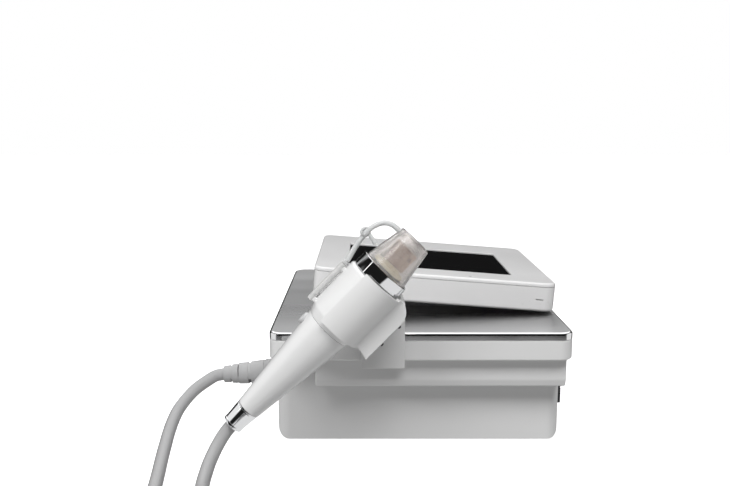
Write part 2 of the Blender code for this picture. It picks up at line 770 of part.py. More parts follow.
def build_handpiece():
    """The corded handpiece, its trigger, and the clear tip that pulls off its end."""
    white = white_plastic()
    axis = empty_at("handpiece_axis", HANDPIECE_FOOT, math.pi / 2 - HANDPIECE_RISE)
    outwards = (0, -math.pi / 2, 0)

    turned(
        "ferrule",
        [
            (0.01025, 0.0194), (0.00880, 0.0026), (0.00905, 0.0014), (0.00835, 0.0), (0.0061, 0.0),
            (0.0061, 0.0194),
        ],
        chrome(), axis, steps=32, ring=True,
    )
    grip_wall = 0.0020
    grip = turned(
        "grip_shell",
        [
            (GRIP_HIGH_RADIUS, GRIP_HIGH), (GRIP_LOW_RADIUS, GRIP_LOW),
            (GRIP_LOW_RADIUS - grip_wall, GRIP_LOW), (GRIP_HIGH_RADIUS - grip_wall, GRIP_HIGH),
        ],
        white, axis, steps=40, ring=True,
    )
    cut(
        grip,
        rod("button_hole", BUTTON_RADIUS + GAP, 0.014, None, (-0.0190, 0, BUTTON_AT), axis, outwards, 24),
    )
    turned(
        "head_shell",
        [
            (0.0218, HEAD_HIGH), (0.0232, 0.1656), (0.0240, 0.1636), (HEAD_RADIUS, 0.1206),
            (0.0231, 0.1200), (0.0231, 0.1168), (0.0208, 0.1136), (0.0188, 0.1136),
            (0.0212, 0.1175), (0.0215, 0.1210), (0.0215, 0.1640), (0.0200, HEAD_HIGH),
        ],
        white, axis, steps=40, ring=True,
    )
    turned(
        "chrome_ring",
        [
            (0.0214, RING_HIGH), (0.0219, RING_HIGH - 0.0006), (0.0219, RING_LOW + 0.0006),
            (0.0214, RING_LOW), (0.0170, RING_LOW), (0.0170, RING_HIGH),
        ],
        chrome(), axis, steps=40, ring=True,
    )

    turned(
        "trigger_button",
        [
            (0.0, 0.0218), (0.0034, 0.0216), (0.0046, 0.0210), (BUTTON_RADIUS, 0.0200),
            (BUTTON_RADIUS, 0.0157), (0.0062, 0.0157), (0.0062, 0.0145), (0.0, 0.0145),
        ],
        grey_plastic(), axis, (0, 0, BUTTON_AT), outwards, steps=24,
    )
    switch_board = block("trigger_board", (0.0014, 0.0140, 0.0320), board_green(), (-0.0111, 0, 0.0960), axis)
    join(
        switch_board,
        block("trigger_switch", (0.0016, 0.0060, 0.0060), None, (-0.0124, 0, BUTTON_AT), axis),
    )
    turned(
        "lead_clamp",
        [
            (0.0072, 0.0420), (0.0084, 0.0400), (0.0084, 0.0320), (0.0072, 0.0300), (0.0040, 0.0300),
            (0.0040, 0.0420),
        ],
        grey_plastic(), axis, steps=20, ring=True,
    )
    turned(
        "transducer_stack",
        [
            (0.0, 0.1770), (0.0050, 0.1770), (0.0050, 0.1650), (0.0150, 0.1640), (0.0150, 0.1520),
            (0.0130, 0.1515), (0.0130, 0.1475), (0.0150, 0.1470), (0.0150, 0.1430), (0.0130, 0.1425),
            (0.0130, 0.1385), (0.0150, 0.1380), (0.0150, 0.1260), (0.0060, 0.1250), (0.0, 0.1250),
        ],
        steel(), axis, steps=20,
    )

    # The suction line: a rigid tube along the head's back, a collar, and a soft hose to the tip.
    guide = [(-GUIDE_OUT, 0, 0.1195 + i * 0.0066) for i in range(7)]
    tube("tube_guide", guide, 0.0026, smoky_clear(), axis, resolution=3)
    turned(
        "tube_collar",
        [
            (0.0, 0.0026), (0.0024, 0.0026), (0.0029, 0.0020), (0.0029, 0.0004), (0.0026, 0.0),
            (0.0, 0.0),
        ],
        grey_plastic(), axis, (-GUIDE_OUT, 0, 0.1194 + 0.0396 + 0.0005), steps=16,
    )
    tube("suction_hose", smooth_route(HOSE_ROUTE, 0.0043), HOSE_RADIUS, smoky_clear(), axis, resolution=2)
    fitting = turned(
        "hose_fitting",
        [(0.0037, 0.0032), (0.0037, -0.0032), (0.0026, -0.0032), (0.0026, 0.0032)],
        smoky_clear(), axis, (-0.0322, 0, 0.1890), steps=16, ring=True,
    )
    join(fitting, rod("fitting_branch", 0.0016, 0.0090, None, (-0.0250, 0, 0.1890), axis, outwards))

    turned(
        "tip_cap",
        [
            (TIP_HIGH_RADIUS, TIP_HIGH), (TIP_LOW_RADIUS, TIP_LOW), (0.0172, TIP_LOW), (0.0136, 0.2040),
            (0.0120, 0.2085), (0.0120, TIP_HIGH),
        ],
        smoky_clear(), axis, steps=40, ring=True,
    )
    block("tip_element", (0.0190, 0.0150, 0.0175), bronze(), (0, 0, 0.19435), axis, corner=0.001, segments=1)
    turned(
        "tip_carrier",
        [
            (0.0, 0.1853), (0.0085, 0.1853), (0.0090, 0.1835), (0.0140, 0.1825), (0.0140, 0.1800),
            (0.0, 0.1800),
        ],
        finish("cream_plastic", (0.78, 0.72, 0.55), 0.45), axis, steps=24,
    )


# ---------------------------------------------------------------- lead


def build_lead():
    """The lead from the rear socket to the handpiece, with its spare length in a tied coil."""
    grey = finish("lead_grey", (0.27, 0.27, 0.27), 0.50)
    plug_face = (PLUG_FACE_X, SOCKET_Y, SOCKET_Z)
    turned(
        "lead_plug",
        [
            (0.0, PLUG_LENGTH - 0.0080), (0.0061, PLUG_LENGTH - 0.0080), (0.0061, PLUG_LENGTH),
            (0.0074, PLUG_LENGTH), (0.0080, 0.0300), (0.0098, 0.0200), (0.0110, 0.0120),
            (0.0122, 0.0100), (0.0122, 0.0012), (0.0116, 0.0004), (0.0, 0.0004),
        ],
        finish("boot_grey", (0.37, 0.37, 0.37), 0.55), at=plug_face, turn=(0, -math.pi / 2 - PLUG_DROOP, 0),
        steps=24,
    )
    tube("lead_console_leg", smooth_route(CONSOLE_LEG, LEAD_POINT_SPACING), LEAD_RADIUS, grey)
    tube("lead_handpiece_leg", smooth_route(HANDPIECE_LEG, LEAD_POINT_SPACING), LEAD_RADIUS, grey)

    inner = COIL_RADIUS - COIL_HALF_WIDTH
    outer = COIL_RADIUS + COIL_HALF_WIDTH
    round_off = 0.004
    turned(
        "lead_coil",
        [
            (outer - round_off, COIL_HIGH), (outer, COIL_HIGH - round_off), (outer, COIL_LOW + round_off),
            (outer - round_off, COIL_LOW), (inner + round_off, COIL_LOW), (inner, COIL_LOW + round_off),
            (inner, COIL_HIGH - round_off), (inner + round_off, COIL_HIGH),
        ],
        grey, at=(COIL_X, COIL_Y, 0.0), steps=48, ring=True,
    )
    tie_height = COIL_HIGH - COIL_LOW + 0.0028
    tie_middle = (COIL_HIGH + COIL_LOW) / 2
    tie = block(
        "coil_tie", (0.0140, 0.0262, tie_height), rubber(), (COIL_X, COIL_Y - COIL_RADIUS, tie_middle),
    )
    cut(
        tie,
        block(
            "tie_opening", (0.0200, 0.0262 - 0.0018, tie_height - 0.0018), None,
            (COIL_X, COIL_Y - COIL_RADIUS, tie_middle),
        ),
    )


def main():
    global parts, cutters
    clear_scene()
    parts = new_collection("treatment_console")
    cutters = new_collection("cutters")
    build_case()
    build_pedal_port()
    build_rear_panel()
    build_inside()
    build_display()
    build_cradle()
    build_handpiece()
    build_lead()


main()
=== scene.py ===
import math

import bmesh
import bpy
import numpy as np
from mathutils import Matrix, Vector


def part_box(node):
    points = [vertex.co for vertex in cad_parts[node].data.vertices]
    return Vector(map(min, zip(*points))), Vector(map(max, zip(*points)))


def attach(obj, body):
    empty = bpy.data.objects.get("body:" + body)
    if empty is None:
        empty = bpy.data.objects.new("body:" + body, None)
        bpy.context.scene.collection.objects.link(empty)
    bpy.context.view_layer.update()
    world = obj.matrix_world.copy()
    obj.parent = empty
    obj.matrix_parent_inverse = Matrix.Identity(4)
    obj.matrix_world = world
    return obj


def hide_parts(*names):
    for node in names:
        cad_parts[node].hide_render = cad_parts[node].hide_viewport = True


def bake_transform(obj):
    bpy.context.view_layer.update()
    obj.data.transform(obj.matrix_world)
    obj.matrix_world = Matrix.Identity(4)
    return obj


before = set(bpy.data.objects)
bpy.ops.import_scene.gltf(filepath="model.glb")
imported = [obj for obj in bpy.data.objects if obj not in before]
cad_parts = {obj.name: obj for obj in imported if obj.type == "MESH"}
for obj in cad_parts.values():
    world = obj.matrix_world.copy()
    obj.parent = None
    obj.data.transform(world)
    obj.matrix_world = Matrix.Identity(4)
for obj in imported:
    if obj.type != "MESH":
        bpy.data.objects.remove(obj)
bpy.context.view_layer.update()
scene = bpy.context.scene

# ---------------------------------------------------------------- camera
# The camera stands off the near long side, level with the top of the display, and looks nine
# degrees down across the case.
camera = bpy.data.objects.new("camera", bpy.data.cameras.new("camera"))
camera.data.lens = 40.98
camera.data.sensor_width = 36.0
camera.data.clip_start = 0.02
camera.data.clip_end = 40.0
camera.location = (-0.032, -0.796, 0.295)
camera.rotation_euler = (math.radians(81.0), 0.0, 0.0)
scene.collection.objects.link(camera)
scene.camera = camera

# ---------------------------------------------------------------- handpiece lead
# One round lead, 11 mm thick, with a matt grey soft-PVC sheath. It carries the drive wires from
# the socket at the rear to the handpiece, and its spare length lies on the table in a tied coil.
LEAD_THICK = 0.0110
LEAD_FROM_SOCKET = [
    (-0.1618, -0.0560, 0.0551), (-0.1690, -0.0570, 0.0541), (-0.1775, -0.0617, 0.0500),
    (-0.1862, -0.0692, 0.0450), (-0.1925, -0.0796, 0.0396), (-0.1971, -0.0920, 0.0342),
    (-0.1990, -0.1060, 0.0291), (-0.1993, -0.1215, 0.0243), (-0.1985, -0.1380, 0.0201),
    (-0.1973, -0.1550, 0.0165), (-0.1955, -0.1730, 0.0134), (-0.1938, -0.1910, 0.0107),
    (-0.1928, -0.2100, 0.0082), (-0.1925, -0.2280, 0.0069), (-0.1925, -0.2450, 0.0066),
    (-0.1925, -0.2620, 0.0066),
]
LEAD_TO_HANDPIECE = [
    (-0.1311, -0.2397, 0.0173), (-0.1397, -0.2350, 0.0173), (-0.1467, -0.2278, 0.0158),
    (-0.1522, -0.2178, 0.0145), (-0.1550, -0.2068, 0.0139), (-0.1560, -0.1955, 0.0147),
    (-0.1561, -0.1845, 0.0165), (-0.1556, -0.1742, 0.0193), (-0.1541, -0.1655, 0.0229),
    (-0.1518, -0.1587, 0.0273), (-0.1487, -0.1537, 0.0324), (-0.1448, -0.1508, 0.0378),
    (-0.1400, -0.1501, 0.0432), (-0.1360, -0.1500, 0.0473),
]
COIL_MIDDLE = Vector((-0.1270, -0.3020, 0.0))
COIL_FROM = 180.0  # degrees, where the lead comes in to the coil
COIL_TO = 1164.0
COIL_STEP = 24.0  # degrees between the points of a turn
OUTER_TURN = 0.0655
UPPER_TURN = 0.0600
INNER_TURN = 0.0545
LEAD_ON_TABLE = 0.0066
LEAD_ON_TURNS = 0.0161


def eased(value, low, high):
    """0 below low, 1 above high, and a smooth rise between them."""
    share = min(1.0, max(0.0, (value - low) / (high - low)))
    return share * share * (3.0 - 2.0 * share)


def coil_turns():
    """Two turns side by side on the table and most of a third in the groove on top of them."""
    turns = []
    for i in range(int((COIL_TO - COIL_FROM) / COIL_STEP) + 1):
        angle = COIL_FROM + i * COIL_STEP
        radius = OUTER_TURN - 0.0110 * eased(angle, 430.0, 560.0)
        radius += 0.0055 * eased(angle, 790.0, 900.0)
        height = LEAD_ON_TABLE + (LEAD_ON_TURNS - LEAD_ON_TABLE) * eased(angle, 770.0, 870.0)
        out = Vector((math.cos(math.radians(angle)), math.sin(math.radians(angle)), 0.0))
        turns.append(tuple(COIL_MIDDLE + out * radius + Vector((0.0, 0.0, height))))
    return turns


def smooth_line(points, spacing):
    """Evenly spaced points on one smooth curve through the given ones."""
    given = np.array(points, float)
    steps = np.linalg.norm(np.diff(given, axis=0), axis=1)
    along = np.concatenate([[0.0], np.cumsum(steps)])
    slope = np.gradient(given, along, axis=0)
    fine = []
    for i, length in enumerate(steps):
        for t in np.linspace(0.0, 1.0, 24, endpoint=False):
            fine.append(
                (2 * t**3 - 3 * t**2 + 1) * given[i] + (t**3 - 2 * t**2 + t) * length * slope[i]
                + (3 * t**2 - 2 * t**3) * given[i + 1] + (t**3 - t**2) * length * slope[i + 1]
            )
    fine = np.array(fine + [given[-1]])
    run = np.concatenate([[0.0], np.cumsum(np.linalg.norm(np.diff(fine, axis=0), axis=1))])
    places = np.linspace(0.0, run[-1], max(2, round(run[-1] / spacing) + 1))
    return np.stack([np.interp(places, run, fine[:, k]) for k in range(3)], axis=1)


def length_of(line):
    return float(np.linalg.norm(np.diff(line, axis=0), axis=1).sum())


def round_cord(name, line, thickness, finish, sides=5):
    """A solid round cord along a line, as a mesh with a UV map that runs along it."""
    curve = bpy.data.curves.new(name, "CURVE")
    curve.dimensions = "3D"
    curve.bevel_depth = thickness / 2
    curve.bevel_resolution = sides
    curve.use_fill_caps = True
    curve.twist_mode = "MINIMUM"
    spline = curve.splines.new("POLY")
    spline.points.add(len(line) - 1)
    for point, place in zip(spline.points, line):
        point.co = (*place, 1.0)
    drawn = bpy.data.objects.new(name + "_line", curve)
    scene.collection.objects.link(drawn)
    graph = bpy.context.evaluated_depsgraph_get()
    mesh = bpy.data.meshes.new_from_object(drawn.evaluated_get(graph))
    bpy.data.objects.remove(drawn)
    mesh.name = name
    mesh.materials.clear()
    mesh.materials.append(finish)
    mesh.shade_smooth()
    mesh.set_sharp_from_angle(angle=math.radians(50))
    cord = bpy.data.objects.new(name, mesh)
    scene.collection.objects.link(cord)
    return cord


def finish_of(name, colour, roughness, metallic=0.0, grain=0.0005, relief=0.12, patch=0.03,
              uneven=0.05, mottle=0.02, stretch=(1.0, 1.0, 1.0), by_uv=False, **even):
    """A surface finish: a fine grain in relief, and slow patches in its gloss and its shade.
    Values in even go straight on the shader's sockets, such as coat_weight or ior."""
    made = bpy.data.materials.new(name)
    made.use_nodes = True
    nodes, links = made.node_tree.nodes, made.node_tree.links
    shader = nodes["Principled BSDF"]
    shader.inputs["Metallic"].default_value = metallic
    for socket, value in even.items():
        words = socket.replace("_", " ").title().replace("Ior", "IOR")
        shader.inputs[words].default_value = value
    where = nodes.new("ShaderNodeTexCoord").outputs["UV" if by_uv else "Object"]
    scaled = nodes.new("ShaderNodeMapping")
    scaled.inputs["Scale"].default_value = stretch
    links.new(where, scaled.inputs["Vector"])

    fine = nodes.new("ShaderNodeTexNoise")
    fine.inputs["Scale"].default_value = 1.0 / grain
    fine.inputs["Detail"].default_value = 3.0
    links.new(scaled.outputs["Vector"], fine.inputs["Vector"])
    bump = nodes.new("ShaderNodeBump")
    bump.inputs["Strength"].default_value = relief
    bump.inputs["Distance"].default_value = grain * 0.25
    links.new(fine.outputs["Fac"], bump.inputs["Height"])
    links.new(bump.outputs["Normal"], shader.inputs["Normal"])

    slow = nodes.new("ShaderNodeTexNoise")
    slow.inputs["Scale"].default_value = 1.0 / patch
    slow.inputs["Detail"].default_value = 4.0
    links.new(scaled.outputs["Vector"], slow.inputs["Vector"])
    gloss = nodes.new("ShaderNodeMapRange")
    gloss.inputs["From Min"].default_value = 0.3
    gloss.inputs["From Max"].default_value = 0.7
    gloss.inputs["To Min"].default_value = max(0.0, roughness - uneven)
    gloss.inputs["To Max"].default_value = roughness + uneven
    links.new(slow.outputs["Fac"], gloss.inputs["Value"])
    links.new(gloss.outputs["Result"], shader.inputs["Roughness"])
    shade = nodes.new("ShaderNodeMix")
    shade.data_type = "RGBA"
    shade.inputs["A"].default_value = (*[c * (1.0 - mottle) for c in colour], 1.0)
    shade.inputs["B"].default_value = (*[min(1.0, c * (1.0 + mottle)) for c in colour], 1.0)
    links.new(slow.outputs["Fac"], shade.inputs["Factor"])
    links.new(shade.outputs["Result"], shader.inputs["Base Color"])
    return made


lead_line = smooth_line(LEAD_FROM_SOCKET + coil_turns()[1:] + LEAD_TO_HANDPIECE, 0.0036)
lead_length = length_of(lead_line)
lead_sheath = finish_of(
    "lead_sheath", (0.420, 0.420, 0.423), 0.40, grain=0.012, relief=0.10, patch=0.35, uneven=0.06,
    mottle=0.05, stretch=(1.0, 20.0, 1.0), by_uv=True, specular_ior_level=0.35,
)
lead = round_cord("handpiece_lead", lead_line, LEAD_THICK, lead_sheath)


# ---------------------------------------------------------------- lead plug
# A moulded soft-PVC plug that screws on the rear socket. Its strain relief steps down towards
# the lead in rings, with slots cut through them in turn from below and from above.
PLUG_FACE = Vector((-0.1128, -0.0560, 0.0580))
PLUG_DROOP = math.radians(3.4)
plug_place = Matrix.Translation(PLUG_FACE) @ Matrix.Rotation(-math.pi / 2 - PLUG_DROOP, 4, "Y")
PLUG_PROFILE = [
    (0.0060, 0.0004), (0.0118, 0.0004), (0.0118, 0.0100), (0.0108, 0.0106), (0.0108, 0.0112),
    (0.0113, 0.0118), (0.0103, 0.0236), (0.0094, 0.0238), (0.0094, 0.0262), (0.0099, 0.0264),
    (0.0096, 0.0350), (0.0088, 0.0351), (0.0087, 0.0411), (0.0077, 0.0413), (0.0077, 0.0430),
    (0.0079, 0.0432), (0.0076, 0.0490), (0.0060, 0.0490), (0.0060, 0.0120),
]


def turned(profile, steps=96, closed=True, rounding=0.0, segments=3):
    """A bmesh turned about Z from (radius, height) points. rounding eases the profile's corners."""
    bm = bmesh.new()
    points = [bm.verts.new((radius, 0.0, height)) for radius, height in profile]
    for first, second in zip(points, points[1:]):
        bm.edges.new((first, second))
    if closed:
        bm.edges.new((points[-1], points[0]))
    if rounding:
        corners = points if closed else points[1:-1]
        bmesh.ops.bevel(
            bm, geom=corners, offset=rounding, offset_type="OFFSET", segments=segments,
            profile=0.5, affect="VERTICES", clamp_overlap=True, material=-1,
        )
    bmesh.ops.spin(
        bm, geom=bm.verts[:] + bm.edges[:], cent=(0, 0, 0), axis=(0, 0, 1), dvec=(0, 0, 0),
        angle=2 * math.pi, steps=steps, use_merge=True,
    )
    return bm


def rod(radius, half, steps, rounding=0.0):
    """A solid round bar along Z, half of its length each way."""
    profile = [(0.0, half), (radius, half), (radius, -half), (0.0, -half)]
    return turned(profile, steps, closed=False, rounding=rounding)


def shade_flats(piece):
    """Keeps a flat face evenly lit up to the small rounding at its edges."""
    step = piece.modifiers.new("shade_flats", "WEIGHTED_NORMAL")
    step.mode = "FACE_AREA"
    step.weight = 50
    step.keep_sharp = True


def set_down(name, bm, finish, place=None, crease=35.0):
    """Closes and turns outwards a bmesh, puts it in its place, and makes it an object."""
    bmesh.ops.remove_doubles(bm, verts=bm.verts, dist=2e-6)
    bmesh.ops.recalc_face_normals(bm, faces=bm.faces)
    if place is not None:
        bmesh.ops.transform(bm, matrix=place, verts=bm.verts)
    mesh = bpy.data.meshes.new(name)
    bm.to_mesh(mesh)
    bm.free()
    if finish is not None:
        mesh.materials.append(finish)
    mesh.shade_smooth()
    mesh.set_sharp_from_angle(angle=math.radians(crease))
    made = bpy.data.objects.new(name, mesh)
    scene.collection.objects.link(made)
    shade_flats(made)
    return made


def cutter(name, bm, place=None):
    """A shape that is only there to cut another one."""
    return set_down(name, bm, None, place)


def fit(piece, body, slot, *nodes):
    """Hangs a finished piece on its body and hides the solids it replaces."""
    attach(piece, body)
    if nodes:
        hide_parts(*nodes)
    return piece


def rounded_block(size, at=(0, 0, 0), upright=0.0, floor=0.0, top=0.0, segments=8):
    """A bmesh block. upright rounds its standing edges, floor and top those round each face."""
    bm = bmesh.new()
    bmesh.ops.create_cube(bm, size=1.0)
    bmesh.ops.scale(bm, vec=size, verts=bm.verts)
    half = size[2] / 2
    if upright:
        standing = [e for e in bm.edges if abs(e.verts[0].co.z - e.verts[1].co.z) > half]
        bmesh.ops.bevel(
            bm, geom=standing, offset=upright, offset_type="OFFSET", segments=segments,
            profile=0.5, affect="EDGES", clamp_overlap=True, material=-1,
        )
    for width, level in ((floor, -half), (top, half)):
        if width:
            ring = [e for e in bm.edges if all(abs(v.co.z - level) < 1e-6 for v in e.verts)]
            bmesh.ops.bevel(
                bm, geom=ring, offset=width, offset_type="OFFSET", segments=segments,
                profile=0.5, affect="EDGES", clamp_overlap=True, material=-1,
            )
    bmesh.ops.translate(bm, vec=at, verts=bm.verts)
    return bm


def combine(piece, operation, *tools, crease=35.0):
    """Joins tools to a piece or cuts them from it, and keeps the result as its mesh."""
    piece.modifiers.clear()
    for tool in tools:
        tool.modifiers.clear()
        step = piece.modifiers.new("combine", "BOOLEAN")
        step.operation = operation
        step.solver = "EXACT"
        step.object = tool
    graph = bpy.context.evaluated_depsgraph_get()
    mesh = bpy.data.meshes.new_from_object(piece.evaluated_get(graph))
    piece.modifiers.clear()
    piece.data = mesh
    for tool in tools:
        bpy.data.objects.remove(tool)
    mesh.shade_smooth()
    mesh.set_sharp_from_angle(angle=math.radians(crease))
    shade_flats(piece)
    return piece


def soften(piece, width, segments=3, above=40.0):
    """Rounds every sharper edge that is left on a piece."""
    piece.modifiers.clear()
    step = piece.modifiers.new("soften", "BEVEL")
    step.width = width
    step.segments = segments
    step.limit_method = "ANGLE"
    step.angle_limit = math.radians(above)
    step.harden_normals = False
    shade_flats(piece)
    return piece


plug_pvc = finish_of(
    "plug_pvc", (0.440, 0.440, 0.443), 0.44, grain=0.0007, relief=0.20, patch=0.012, mottle=0.04,
)
plug = set_down("lead_plug_boot", turned(PLUG_PROFILE, 64, rounding=0.00035), plug_pvc)
slots = []
for height, wide, turn in ((0.0250, 0.0023, 35), (0.0250, 0.0023, 215), (0.0422, 0.0017, 35),
                           (0.0422, 0.0017, 215), (0.0351, 0.0012, 125), (0.0351, 0.0012, 305)):
    slot = rounded_block((0.0050, 0.0105, wide), (0.0085, 0.0, height))
    slots.append(cutter("slot", slot, Matrix.Rotation(math.radians(turn), 4, "Z")))
combine(plug, "DIFFERENCE", *slots)
plug.data.transform(plug_place)
soften(plug, 0.00022, 2)
fit(plug, "console", "boot_grey", "lead_plug")

# ---------------------------------------------------------------- coil tie
# A soft black rubber strap, 14 mm wide and 0.9 mm thick, drawn round the three turns of the coil.
TIE_WIDTH = 0.0140
TIE_THICK = 0.0009
strap = bmesh.new()
edge = []
for middle, height, first in (
    (OUTER_TURN, LEAD_ON_TABLE, -90), (UPPER_TURN, LEAD_ON_TURNS, 30),
    (INNER_TURN, LEAD_ON_TABLE, 150),
):
    for i in range(13):
        angle = math.radians(first + i * 10)
        reach = LEAD_THICK / 2 + 0.0001
        edge.append(strap.verts.new((
            COIL_MIDDLE.x - TIE_WIDTH / 2,
            COIL_MIDDLE.y - middle - reach * math.cos(angle),
            height + reach * math.sin(angle),
        )))
rim_edges = [strap.edges.new(pair) for pair in zip(edge, edge[1:] + edge[:1])]
drawn_out = bmesh.ops.extrude_edge_only(strap, edges=rim_edges)["geom"]
moved = [v for v in drawn_out if isinstance(v, bmesh.types.BMVert)]
bmesh.ops.translate(strap, vec=(TIE_WIDTH, 0, 0), verts=moved)
bmesh.ops.recalc_face_normals(strap, faces=strap.faces)
tie_rubber = finish_of(
    "tie_rubber", (0.030, 0.030, 0.032), 0.62, grain=0.0008, relief=0.25, patch=0.01, mottle=0.15,
)
coil_tie = set_down("coil_tie_strap", strap, tie_rubber)
coil_tie.modifiers.clear()
thickness = coil_tie.modifiers.new("thickness", "SOLIDIFY")
thickness.thickness = TIE_THICK
thickness.offset = 1.0
soften(coil_tie, 0.0003, 2)
fit(coil_tie, "console", "rubber", "coil_tie")

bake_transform(lead)
# Each point of the lead is given a share from 0 to 1 by how near the handpiece end it lies; the
# share is not put to any use here.
GIVE_FROM = lead_length - 0.150
GIVE_TO = lead_length - 0.012
run = np.concatenate([[0.0], np.cumsum(np.linalg.norm(np.diff(lead_line, axis=0), axis=1))])
corners = np.array([v.co for v in lead.data.vertices])
nearest = np.array([run[np.argmin(((lead_line - c) ** 2).sum(axis=1))] for c in corners])
share = np.clip((nearest - GIVE_FROM) / (GIVE_TO - GIVE_FROM), 0.0, 1.0)
share = (share * share * (3.0 - 2.0 * share)).astype(np.float32)
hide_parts("lead_console_leg", "lead_handpiece_leg", "lead_coil")

# ---------------------------------------------------------------- suction hose
# A soft clear silicone hose, 4.3 mm thick, that runs from the collar on the head's guide tube
# over to the clear tip, and the clear ring and branch of the small air valve tied into it.
FOOT = Vector((-0.1400, -0.1500, 0.0432))
RISE = math.radians(45.73)
handpiece_place = Matrix.Translation(FOOT) @ Matrix.Rotation(math.pi / 2 - RISE, 4, "Y")
HOSE_THICK = 0.0043
HOSE_ROUTE = [
    (-0.0273, 0.0, 0.1626), (-0.0283, 0.0, 0.1668), (-0.0303, 0.0, 0.1746), (-0.0318, 0.0, 0.1836),
    (-0.0322, 0.0, 0.1910), (-0.0308, 0.0, 0.1985), (-0.0272, 0.0, 0.2046), (-0.0215, 0.0, 0.2078),
    (-0.0158, 0.0, 0.2082), (-0.0142, 0.0, 0.2082),
]
hose_silicone = finish_of(
    "hose_silicone", (0.86, 0.87, 0.87), 0.24, grain=0.010, relief=0.05, patch=0.2, mottle=0.03,
    stretch=(1.0, 3.0, 1.0), by_uv=True, transmission_weight=0.30, ior=1.41, coat_weight=0.3,
    coat_roughness=0.12,
)
hose_points = [tuple(handpiece_place @ Vector(p)) for p in HOSE_ROUTE]
hose_line = smooth_line(hose_points, 0.0012)
hose = round_cord("suction_hose_line", hose_line, HOSE_THICK, hose_silicone, 4)
fit(hose, "tip", "soft_clear", "suction_hose")

valve_clear = finish_of(
    "valve_clear", (0.84, 0.85, 0.85), 0.20, grain=0.0006, relief=0.08, patch=0.004, mottle=0.06,
    transmission_weight=0.25, ior=1.45, coat_weight=0.4, coat_roughness=0.10,
)
valve_at = Vector((-0.0322, 0.0, 0.1890))
ring = bmesh.new()
bmesh.ops.create_circle(ring, radius=0.00115, segments=16, matrix=(
    Matrix.Translation((0.0031, 0, 0)) @ Matrix.Rotation(math.pi / 2, 4, "X")))
bmesh.ops.spin(ring, geom=ring.verts[:] + ring.edges[:], cent=(0, 0, 0), axis=(0, 0, 1),
               dvec=(0, 0, 0), angle=2 * math.pi, steps=40, use_merge=True)
valve_tilt = Matrix.Rotation(math.radians(76), 4, "X") @ Matrix.Rotation(math.radians(20), 4, "Y")
valve = set_down(
    "air_valve", ring, valve_clear, Matrix.Translation((-0.0012, -0.0010, 0.0)) @ valve_tilt
)
collar = turned([(0.00216, -0.0026), (0.0029, -0.0026), (0.0032, 0.0), (0.0029, 0.0026),
                 (0.00216, 0.0026)], 40, rounding=0.0002)
branch = turned([(0.0, -0.0002), (0.00165, -0.0002), (0.00165, 0.0070), (0.0020, 0.0072),
                 (0.0020, 0.0092), (0.0, 0.0092)], 32, closed=False, rounding=0.0003)
combine(
    valve, "UNION",
    set_down("valve_collar", collar, valve_clear),
    set_down("valve_branch", branch, valve_clear, Matrix.Translation((0.0024, 0, 0.0008))
             @ Matrix.Rotation(math.radians(102), 4, "Y")),
)
valve.data.transform(handpiece_place @ Matrix.Translation(valve_at))
fit(valve, "tip", "soft_clear", "hose_fitting")

# ---------------------------------------------------------------- lower housing
# The tray of the case: one injection-moulded shell of white ABS, 2.5 mm thick, with rounded
# corners, an opening at the rear for the panel and a hole for the pedal jack at the front end.
WALL = 0.0025


def middle_of(node):
    low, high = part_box(node)
    return (low + high) / 2


def size_of(node):
    low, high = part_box(node)
    return high - low


case_white = finish_of(
    "case_white", (0.800, 0.800, 0.798), 0.36, grain=0.0006, relief=0.10, patch=0.05, uneven=0.04,
    mottle=0.008, coat_weight=0.15, coat_roughness=0.25,
)
PANEL_SIZE = (0.0080, 0.2000, 0.0580)
PANEL_OUTER_X = -0.1077
PANEL_Z = 0.045
JACK = Vector((0.1434, -0.0620, 0.0400))
housing = set_down(
    "housing", rounded_block(size_of("lower_housing"), middle_of("lower_housing"), 0.012),
    case_white,
)
length, depth, height = size_of("lower_housing")
end_place = Matrix.Translation(middle_of("lower_housing") + Vector((0, 0, height / 2)))
end_place = end_place @ Matrix.Rotation(math.pi / 2, 4, "X")
end_view = rounded_block((length, 2 * height, 2 * depth), upright=0.0095, segments=12)
end_view = cutter("end_view", end_view, end_place)
combine(housing, "INTERSECT", end_view)
hollow = size_of("lower_housing") - Vector((2 * WALL, 2 * WALL, 0.0))
combine(
    housing, "DIFFERENCE",
    cutter(
        "hollow", rounded_block(
            hollow, middle_of("lower_housing") + Vector((0, 0, WALL)), 0.0095, floor=0.0065
        )
    ),
    cutter("opening", rounded_block(PANEL_SIZE, (PANEL_OUTER_X - 0.001, 0.030, PANEL_Z))),
    cutter(
        "jack_hole", rod(0.0053, 0.005, 32),
        Matrix.Translation((0.1415, JACK.y, JACK.z)) @ Matrix.Rotation(math.pi / 2, 4, "Y")
    ),
)
soften(housing, 0.0012, 3)
fit(housing, "console", "white_plastic", "lower_housing")

# ---------------------------------------------------------------- rim
# The upper band of the case, a second white moulding that overhangs the tray all round. It has
# a small radius where it meets the lid and another round its lower edge.
rim = set_down(
    "rim", rounded_block(
        size_of("rim_frame"), middle_of("rim_frame"), 0.012, floor=0.0016, top=0.0007
    ),
    case_white,
)
rim_hollow = size_of("rim_frame") - Vector((2 * WALL, 2 * WALL, 0.0))
combine(
    rim, "DIFFERENCE",
    cutter(
        "hollow", rounded_block(rim_hollow, middle_of("rim_frame") + Vector((0, 0, WALL)), 0.0095)
    ),
    cutter(
        "opening", rounded_block(
            (0.240, 0.217, 0.030), (middle_of("rim_frame").x, middle_of("rim_frame").y, 0.0857),
            0.008
        )
    ),
)
soften(rim, 0.0004, 2, above=50.0)
fit(rim, "console", "white_plastic", "rim_frame")

